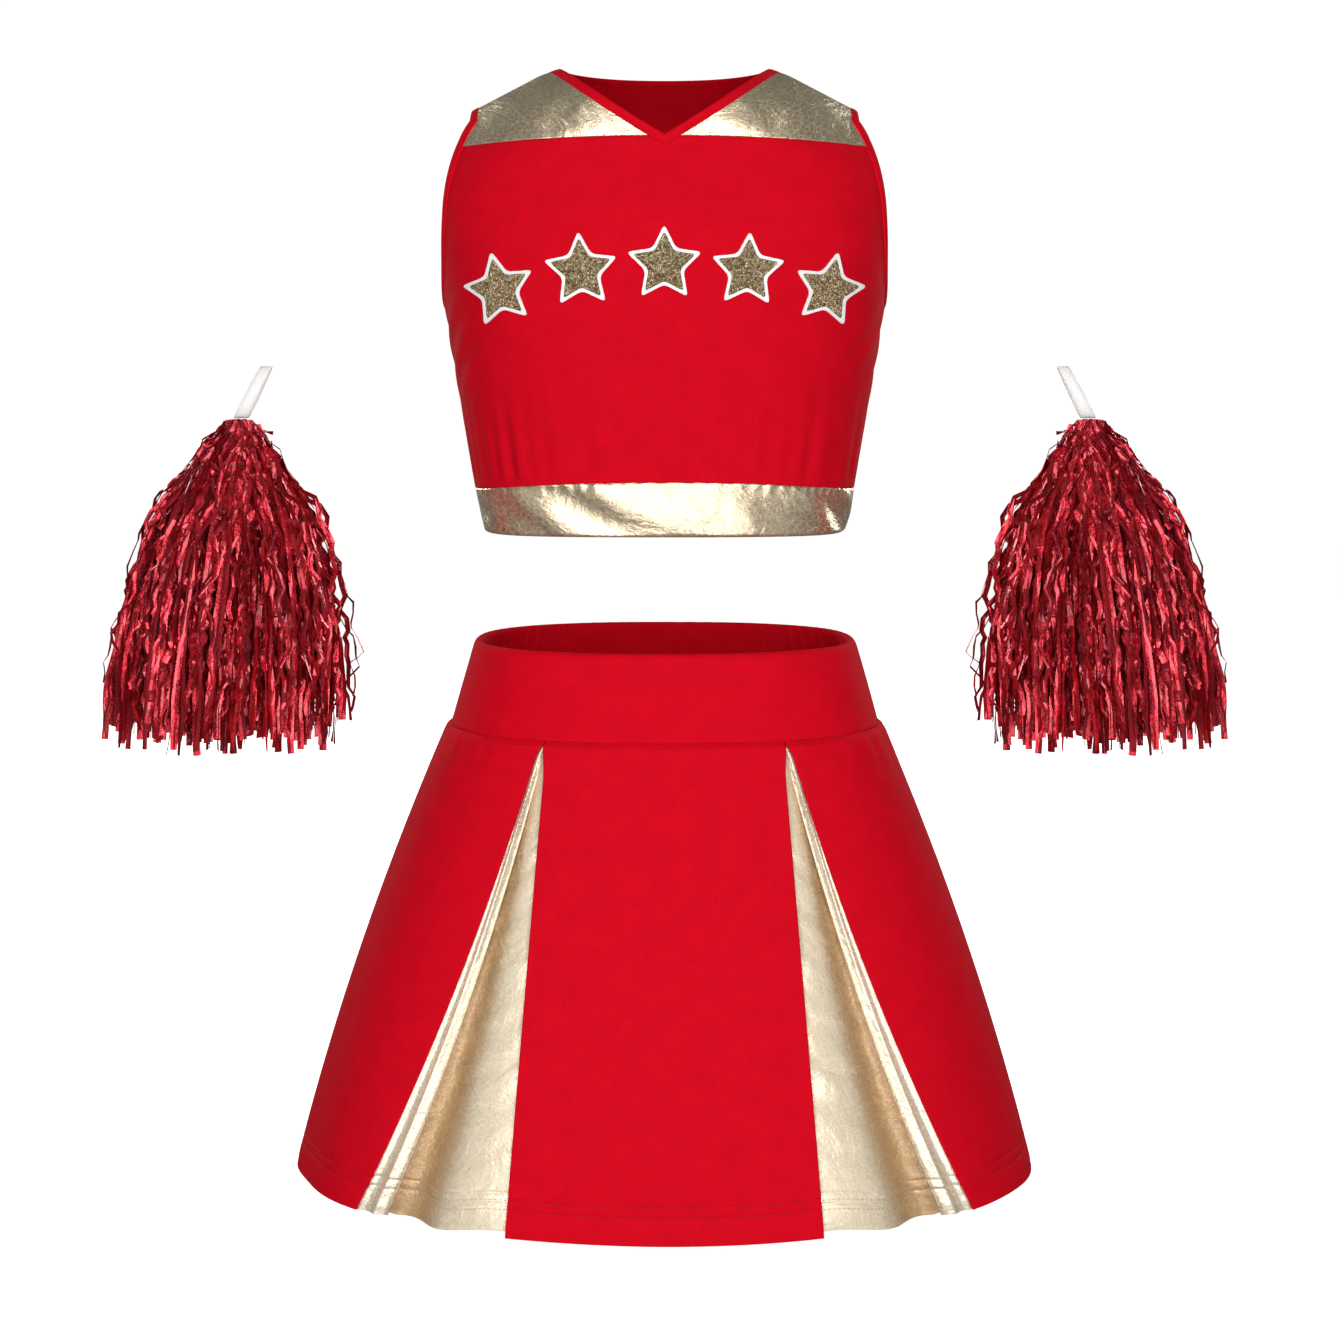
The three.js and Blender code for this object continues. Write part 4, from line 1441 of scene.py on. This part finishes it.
PLEAT_CREASE = waves(41, 5, 0.03, 0.075)
PLEAT_RUCK = waves(42, 6, 0.012, 0.03)


def pleat_inset(share, down):
    """How far the pleat lies behind the panels: flat by the front panel, folded deep by the side one."""
    behind = 3.9 * MM
    fold = 0.020 * down * np.sin(math.pi * share**2) ** 2
    flat_part = np.exp(-(((share - 0.3) / 0.3) ** 2))
    crease = PLEAT_CREASE(down * 0.30 + share * 0.02) * flat_part * smooth(0, 0.3, down)
    ruck = PLEAT_RUCK(down * 0.30 - share * 0.03) * smooth(0.05, 0.2, share) * smooth(0.9, 0.6, share)
    return behind + fold + (1.5 * crease + 0.5 * ruck) * MM * smooth(0, 0.1, share)


def fold_shade_mask(points, start, end, most):
    """Painted shade of a fold over a grid, rising to most from one share of its columns to another."""
    share = np.linspace(0, 1, points.shape[1])[None] * np.ones((len(points), 1))
    return most * smooth(start, end, share)


def facing_roll(share, down):
    """How far the facing lies behind the side panel: two soft ridges with a groove between them."""
    ridge = np.exp(-(((share - 0.74) / 0.10) ** 2)) + 0.8 * np.exp(-(((share - 0.30) / 0.11) ** 2))
    groove = smooth(0.3, 0.0, share) * 1.4
    return (3.4 - 2.0 * ridge * smooth(0.0, 0.2, down) + groove - 1.4 * smooth(0.86, 1.0, share)) * MM


def pleat_short(share):
    """How much higher the pleat's hem is than the skirt's: it dips where the cloth folds back."""
    return (mix(3.0, -6.0, smooth(0.1, 0.55, share)) + 9.0 * smooth(0.78, 0.95, share)) * MM


def pleat_blend(sign):
    """Where a pleat's cloth leaves the skirt's side panel and where it follows the front panel; dress only
    checks that this is given, and bakes the piece in place.
    """
    start = (sign * 0.194, -0.09, -0.36)
    end = (sign * 0.1604, -0.09, -0.373)
    return ("skirt", "front_panel", start, end)


PLEAT_TUCK = 0.009  # how far a pleat reaches behind the panels beside it
FACING_TUCK = 0.005
FACING_TOP_WIDTH, FACING_HEM_WIDTH = 0.002, 0.017


def facing_width(down):
    return mix(FACING_TOP_WIDTH, FACING_HEM_WIDTH, down**1.2)


def facing_edge(down):
    """The free edge of a facing, as a distance from the middle of the front."""
    return pleat_edge(down) - facing_width(down)


def facing_row(sign):
    """A stitched row along a facing, as surface(t, beside)."""

    def surface(t, beside):
        down = 0.03 + 0.965 * t
        width = facing_width(down)
        share = 1 - (0.30 * width + FACING_TUCK + MM * beside) / (width + FACING_TUCK)
        angle = sign * skirt_angle(pleat_edge(down) - width * 0.30 - MM * beside, down)
        return on_skirt(angle, down, skirt_relief(angle, down) - facing_roll(share, down))

    return surface


class UNIFORM_OT_pleats(UniformOperator, bpy.types.Operator):
    """Foil pleat inserts and their facings"""

    bl_idname = "uniform.pleats"
    bl_label = "Foil pleats"

    def make(self, sizes):
        for side, sign in (("left", -1), ("right", 1)):
            self.pleat(side, sign)
            self.facing(side, sign)

    def pleat(self, side, sign):
        """The foil insert, joined to the front panel and to the side panel."""
        edges = [edge_at(sign, front_edge, -PLEAT_TUCK), edge_at(sign, pleat_edge, PLEAT_TUCK)]
        points = skirt_grid(*edges, 150, 220, pleat_inset, pleat_short)
        # The pleat's painted fold shade, strongest towards the side panel.
        depth = fold_shade_mask(points, 0.36, 0.66, 0.85)
        piece = cloth(f"pleat_cloth_{side}", points, SKIRT_MIDDLE, depth)
        dress(piece, "pleat", None, [f"pleat_insert_{side}"], pleat_blend(sign))
        rows = hem_lines(*edges, PLEAT_HEM_ROWS, 160, pleat_inset, pleat_short)
        stitching = stitch_line(f"pleat_stitching_{side}", rows, "gold thread", None, pleat_blend(sign))
        declare(points)

    def facing(self, side, sign):
        """The foil strip that shows along the side panel's front edge."""
        edges = [edge_at(sign, facing_edge), edge_at(sign, pleat_edge, FACING_TUCK)]
        points = skirt_grid(*edges, 48, 220, facing_roll)
        # The facing's painted fold shade, strongest at its free edge.
        piece = cloth(f"facing_cloth_{side}", points, SKIRT_MIDDLE, fold_shade_mask(points, 0.2, 0.0, 0.5))
        dress(piece, "facing", "skirt", [f"pleat_facing_{side}"])
        row = line_on(facing_row(sign), 160)
        stitching = stitch_line(f"facing_stitching_{side}", [row], "gold thread", "skirt")
        declare(points)


# ---- Pom-poms ----

TIE = (0.273, 0.139)
POM_LENGTH = 0.205
POM_DEPTH = 0.82
POM_LEAN = 0.013
bell_radius = through(
    [
        (-POM_LENGTH, 0.077),
        (-POM_LENGTH * 0.65, 0.0724),
        (-POM_LENGTH * 0.33, 0.055),
        (-POM_LENGTH * 0.16, 0.033),
        (-0.009, 0.016),
        (-0.0026, 0.012),
    ]
)


GOLDEN_ANGLE = 2.399963
STRIP_THICKNESS = 0.12 * MM
STRIP_CUP = 0.35 * MM  # how far a strip's middle stands off the line between its edges


def strips(rng, count, width, crinkle, reach, share_range, segments):
    """Flat tinsel strips that leave the tie, spread over a bell and hang, each with its own bends."""
    t = np.linspace(0, 1, segments)[None, :]
    around = (np.arange(count) * GOLDEN_ANGLE + rng.uniform(-0.15, 0.15, count))[:, None]
    share = np.sqrt(rng.uniform(share_range[0] ** 2, share_range[1] ** 2, count))[:, None]
    length = POM_LENGTH * rng.uniform(reach[0], reach[1], count)[:, None]
    height = rng.uniform(-0.006, 0.0018, (count, 1)) - length * t
    radius = bell_radius(np.maximum(height, -POM_LENGTH)) * share * mix(0.75, 1.0, smooth(0.0, 0.06, t))
    radius = radius + 0.003 * np.sin(t * math.pi * 2 + rng.uniform(0, 6.3, (count, 1))) * t
    around = around + rng.normal(0, 0.09, (count, 1)) * t
    zigzag = rng.normal(0, 1, (count, segments, 3))
    soft = 0.55 * zigzag + 0.45 * np.roll(zigzag, 1, 1)
    amount = crinkle * smooth(0.02, 0.12, t) * (1 - 0.35 * t)
    centre = np.stack([radius * np.cos(around), radius * np.sin(around), height], -1)
    centre = centre + soft * amount[..., None] * (1, 1, 0.6)
    centre[..., 2] = np.minimum(centre[..., 2], 0.0024)
    forward = np.gradient(centre, axis=1)
    forward /= np.linalg.norm(forward, axis=-1, keepdims=True)
    outward = np.stack([np.cos(around), np.sin(around), 0 * around], -1) + 0 * centre
    side = np.cross(forward, outward)
    side /= np.linalg.norm(side, axis=-1, keepdims=True)
    face = np.cross(side, forward)
    turn = rng.uniform(-1.0, 1.0, (count, 1)) + rng.normal(0, 1.6, (count, 1)) * t
    turn = turn + 0.5 * np.cumsum(rng.normal(0, 0.28, (count, segments)), 1) * (crinkle > 0.0005)
    turn = turn[..., None]
    cross = side * np.cos(turn) + face * np.sin(turn)
    flat = face * np.cos(turn) - side * np.sin(turn)
    wide = width * rng.uniform(0.75, 1.15, (count, 1, 1)) / 2
    taper = smooth(0.0, 0.12, t)[..., None] * 0.6 + 0.4
    ring = np.stack(
        [
            centre - cross * wide * taper,
            centre + flat * STRIP_CUP + flat * STRIP_THICKNESS,
            centre + cross * wide * taper,
            centre + flat * STRIP_CUP - flat * STRIP_THICKNESS,
        ],
        2,
    )
    along = np.broadcast_to(t * length, (count, segments))
    uv = np.stack(
        np.broadcast_arrays(
            np.array([0.0, 0.5, 1.0, 0.5])[None, None] * width + np.arange(count)[:, None, None] * 0.037,
            along[..., None] + np.arange(count)[:, None, None] * 0.051,
        ),
        -1,
    )
    return ring, uv


def tassel(groups):
    """Points, faces and cloth places of a bundle of strips, each a thin closed solid, in the tie's frame."""
    points, faces, uvs, start = [], [], [], 0
    for ring, uv in groups:
        count, segments = ring.shape[:2]
        cap = np.arange(4)[None]
        one = np.concatenate([grid_faces(segments, 4, closed_columns=True), cap, cap + 4 * (segments - 1)])
        offsets = (np.arange(count) * segments * 4)[:, None, None]
        faces.append((one[None] + offsets).reshape(-1, 4) + start)
        points.append(ring.reshape(-1, 3))
        uvs.append(uv.reshape(-1, 2))
        start += count * segments * 4
    return np.concatenate(points), np.concatenate(faces), np.concatenate(uvs)


def hang(points, sign):
    """Moves a tassel from its tie's frame to where it hangs, leaning out a little and flattened in depth."""
    x = points[..., 0] * -sign + sign * (TIE[0] + POM_LEAN * clamp(-points[..., 2] / POM_LENGTH))
    return np.stack([x, points[..., 1] * POM_DEPTH, TIE[1] + points[..., 2]], -1)


class UNIFORM_OT_pom_poms(UniformOperator, bpy.types.Operator):
    """Tinsel pom-poms with their ties and strap loops"""

    bl_idname = "uniform.pom_poms"
    bl_label = "Pom-poms"

    def make(self, sizes):
        for side, sign in (("left", -1), ("right", 1)):
            rng = np.random.default_rng(77)
            width = sizes.strand_width
            body = f"pom_tassel_{side}"
            crinkled = [
                strips(rng, sizes.strand_count, width, 0.0026, (0.70, 0.95), (0.40, 0.97), 44),
                strips(rng, sizes.strand_count // 3, width, 0.0034, (0.25, 0.60), (0.6, 1.04), 18),
                strips(rng, sizes.strand_count // 6, width, 0.0028, (0.05, 0.20), (0.1, 0.95), 9),
                strips(rng, sizes.strand_count // 22, width * 0.8, 0.0042, (0.80, 0.97), (1.02, 1.10), 30),
            ]
            straight = [strips(rng, sizes.straight_count, width * 1.15, 0.0009, (0.93, 1.01), (0.2, 1.0), 26)]
            for name, groups, node in (
                ("crinkled_tinsel", crinkled, "pom_crinkled_strands"),
                ("straight_tinsel", straight, "pom_straight_strands"),
            ):
                points, faces, uv = tassel(groups)
                piece = new_object(f"{name}_{side}", hang(points, sign), faces, uv)
                piece.data.shade_flat()
                orient(piece)
                dress(piece, "tinsel", body, [f"{node}_{side}"])
            self.tie(side, sign, body)
            self.loop(side, sign)

    def tie(self, side, sign, body):
        """The band of strap that grips the strands, wound twice."""
        turns, steps = 2.2, 120
        t = np.linspace(0, 1, steps)
        spin = t * turns * FULL_TURN
        radius = 0.0104 + 0.0004 * np.sin(spin * 3)
        low = -0.0116 + 0.0075 * t
        rings = []
        for dr, dz in ((0, 0), (0.0006, 0.0002), (0.0006, 0.0030), (0, 0.0032)):
            r = radius + dr
            rings.append(np.stack([r * np.cos(spin), r * np.sin(spin), low + dz - 0.0016], -1))
        points = hang(np.stack(rings, 1), sign)
        uv = np.zeros(points.shape[:2] + (2,))
        uv[..., 1] = np.linspace(0, 0.15, steps)[:, None]
        piece = swept(f"tie_wrap_{side}", points, uv=uv)
        dress(piece, "strap", body, [f"pom_tie_{side}"])

    def loop(self, side, sign):
        """A flat strap folded into a narrow loop, its flat side in front."""
        t = np.linspace(0, 1, 91)[:-1]
        turn = FULL_TURN * t
        height, lean = 0.033, 0.017
        reach = 0.0062 * np.sin(turn) * (1 - 0.30 * (0.5 - 0.5 * np.cos(turn)))
        z = 0.0030 + (height - 0.0008) * (0.5 - 0.5 * np.cos(turn))
        slope = np.stack([np.roll(reach, -1) - np.roll(reach, 1), np.roll(z, -1) - np.roll(z, 1)], -1)
        slope /= np.linalg.norm(slope, axis=1, keepdims=True)
        half, thick = 0.0048, 0.00045
        outline = [(-1, -0.4), (-0.92, -1), (0.92, -1), (1, -0.4), (1, 0.4), (0.92, 1), (-0.92, 1), (-1, 0.4)]
        rings = []
        for across, lift in outline:
            along = reach + slope[:, 1] * thick * lift
            up = z - slope[:, 0] * thick * lift
            beside = across * half * (0.82 + 0.18 * np.cos(turn / 2) ** 2)
            x = beside + lean * up / height
            rings.append(np.stack([-sign * x + sign * TIE[0], -along, TIE[1] + up], -1))
        across = np.linspace(0, 0.02, 8)
        uv = np.stack(np.broadcast_arrays(across[None], t[:, None] * 0.07), -1)
        piece = swept(f"strap_loop_{side}", np.stack(rings, 1), closed=True, uv=uv)
        dress(piece, "strap", f"pom_loop_{side}", [f"pom_loop_{side}"])


# ---- Stage ----


def area_light(name, place, target, width, height, watts):
    lamp = bpy.data.lights.new(name, "AREA")
    lamp.shape, lamp.size, lamp.size_y, lamp.energy = "RECTANGLE", width, height, watts
    light = bpy.data.objects.new(name, lamp)
    light.location = place
    light.rotation_mode = "QUATERNION"
    light.rotation_quaternion = (Vector(target) - Vector(place)).to_track_quat("-Z", "Y")
    bpy.context.scene.collection.objects.link(light)


class UNIFORM_OT_stage(UniformOperator, bpy.types.Operator):
    """Camera, lights and a plain pale floor"""

    bl_idname = "uniform.stage"
    bl_label = "Stage"

    def make(self, sizes):
        self.camera()
        self.lights()
        self.floor()

    def camera(self):
        target, distance, tilt = Vector((0.0034, 0, -0.0215)), 1.7, math.radians(7.9)
        sensor, view_width = 36.0, 0.871
        lens = bpy.data.cameras.new("camera")
        lens.sensor_width, lens.lens = sensor, sensor * distance / view_width
        camera = bpy.data.objects.new("camera", lens)
        back = Vector((0, -math.cos(tilt), math.sin(tilt)))
        camera.location = target + back * distance
        camera.rotation_mode = "QUATERNION"
        camera.rotation_quaternion = (-back).to_track_quat("-Z", "Y")
        bpy.context.scene.collection.objects.link(camera)
        bpy.context.scene.camera = camera

    def lights(self):
        for name, side in (("softbox_left", -1), ("softbox_right", 1)):
            area_light(name, (side * 0.65, -2.2, 0.35), (0, 0, 0), 0.55, 1.6, 19)
        for name, side in (("card_left", -1), ("card_right", 1)):
            area_light(name, (side * 2.2, -1.2, 0.0), (0, 0, 0), 1.0, 2.2, 1.8)
        area_light("low_card", (0, -2.2, -1.15), (0, 0, -0.15), 2.4, 0.8, 17)
        area_light("overhead", (0, -0.9, 2.1), (0, 0, 0.1), 1.2, 0.5, 9)
        for name, side in (("back_left", -1), ("back_right", 1)):
            area_light(name, (side * 1.5, 1.8, 0.7), (0, 0, 0), 0.8, 1.5, 24)

    def floor(self):
        """A round pale floor that rises into a wall on every side, so that it backs every view."""
        scene = bpy.context.scene
        scene.view_settings.view_transform = "Standard"
        world = bpy.data.worlds.new("studio")
        world.use_nodes = True
        world.node_tree.nodes["Background"].inputs["Color"].default_value = (1, 0.985, 0.96, 1)
        world.node_tree.nodes["Background"].inputs["Strength"].default_value = 0.075
        scene.world = world
        low = float(CAD_BOX[0].z) - 0.03
        flat, bend, height, middle, around = 5.0, 1.5, 9, 0.001, 64
        profile = [(middle, low)]
        for a in np.linspace(0, math.pi / 2, 16):
            profile.append((flat + bend * math.sin(a), low + bend * (1 - math.cos(a))))
        profile += [(flat + bend, low + height), (middle, low + height)]
        turn = np.linspace(0, FULL_TURN, around, endpoint=False)
        points = np.array([[(r * math.cos(a), r * math.sin(a), z) for a in turn] for r, z in profile])
        bowl = new_object("floor", points, grid_faces(len(profile), around, closed_columns=True))
        s = Shader("pale_floor")
        grain = s.noise(s.place(), 3.0, 2.0)
        bowl.data.materials.append(
            s.finish(
                Base_Color=s.blend(grain, (0.93, 0.925, 0.90), (0.96, 0.955, 0.94)),
                Roughness=0.9,
                Emission_Color=(1.0, 1.0, 0.982, 1.0),
                Emission_Strength=0.93,
            )
        )
        bowl.visible_glossy = False
        bowl.visible_diffuse = False
        bowl.visible_shadow = False


class UNIFORM_PT_panel(bpy.types.Panel):
    """Lists the maker's steps"""

    bl_idname = "UNIFORM_PT_panel"
    bl_label = "Cheer uniform"
    bl_space_type = "VIEW_3D"
    bl_region_type = "UI"
    bl_category = "Uniform"

    def draw(self, context):
        for group in (context.scene.uniform_looks, context.scene.uniform_sizes):
            for name in group.__annotations__:
                self.layout.prop(group, name)
        for operator in OPERATORS:
            self.layout.operator(operator.bl_idname)


OPERATORS = (
    UNIFORM_OT_stage,
    UNIFORM_OT_body,
    UNIFORM_OT_yokes,
    UNIFORM_OT_bindings,
    UNIFORM_OT_hem_band,
    UNIFORM_OT_stars,
    UNIFORM_OT_waistband,
    UNIFORM_OT_skirt_panels,
    UNIFORM_OT_pleats,
    UNIFORM_OT_pom_poms,
)
CLASSES = (UniformLooks, UniformSizes, *OPERATORS, UNIFORM_PT_panel)


def register():
    for item in CLASSES:
        bpy.utils.register_class(item)
    bpy.types.Scene.uniform_looks = bpy.props.PointerProperty(type=UniformLooks)
    bpy.types.Scene.uniform_sizes = bpy.props.PointerProperty(type=UniformSizes)


def unregister():
    del bpy.types.Scene.uniform_looks, bpy.types.Scene.uniform_sizes
    for item in reversed(CLASSES):
        bpy.utils.unregister_class(item)


def main():
    register()
    for operator in OPERATORS:
        getattr(bpy.ops.uniform, operator.bl_idname.split(".")[1])()


if __name__ == "__main__":
    main()
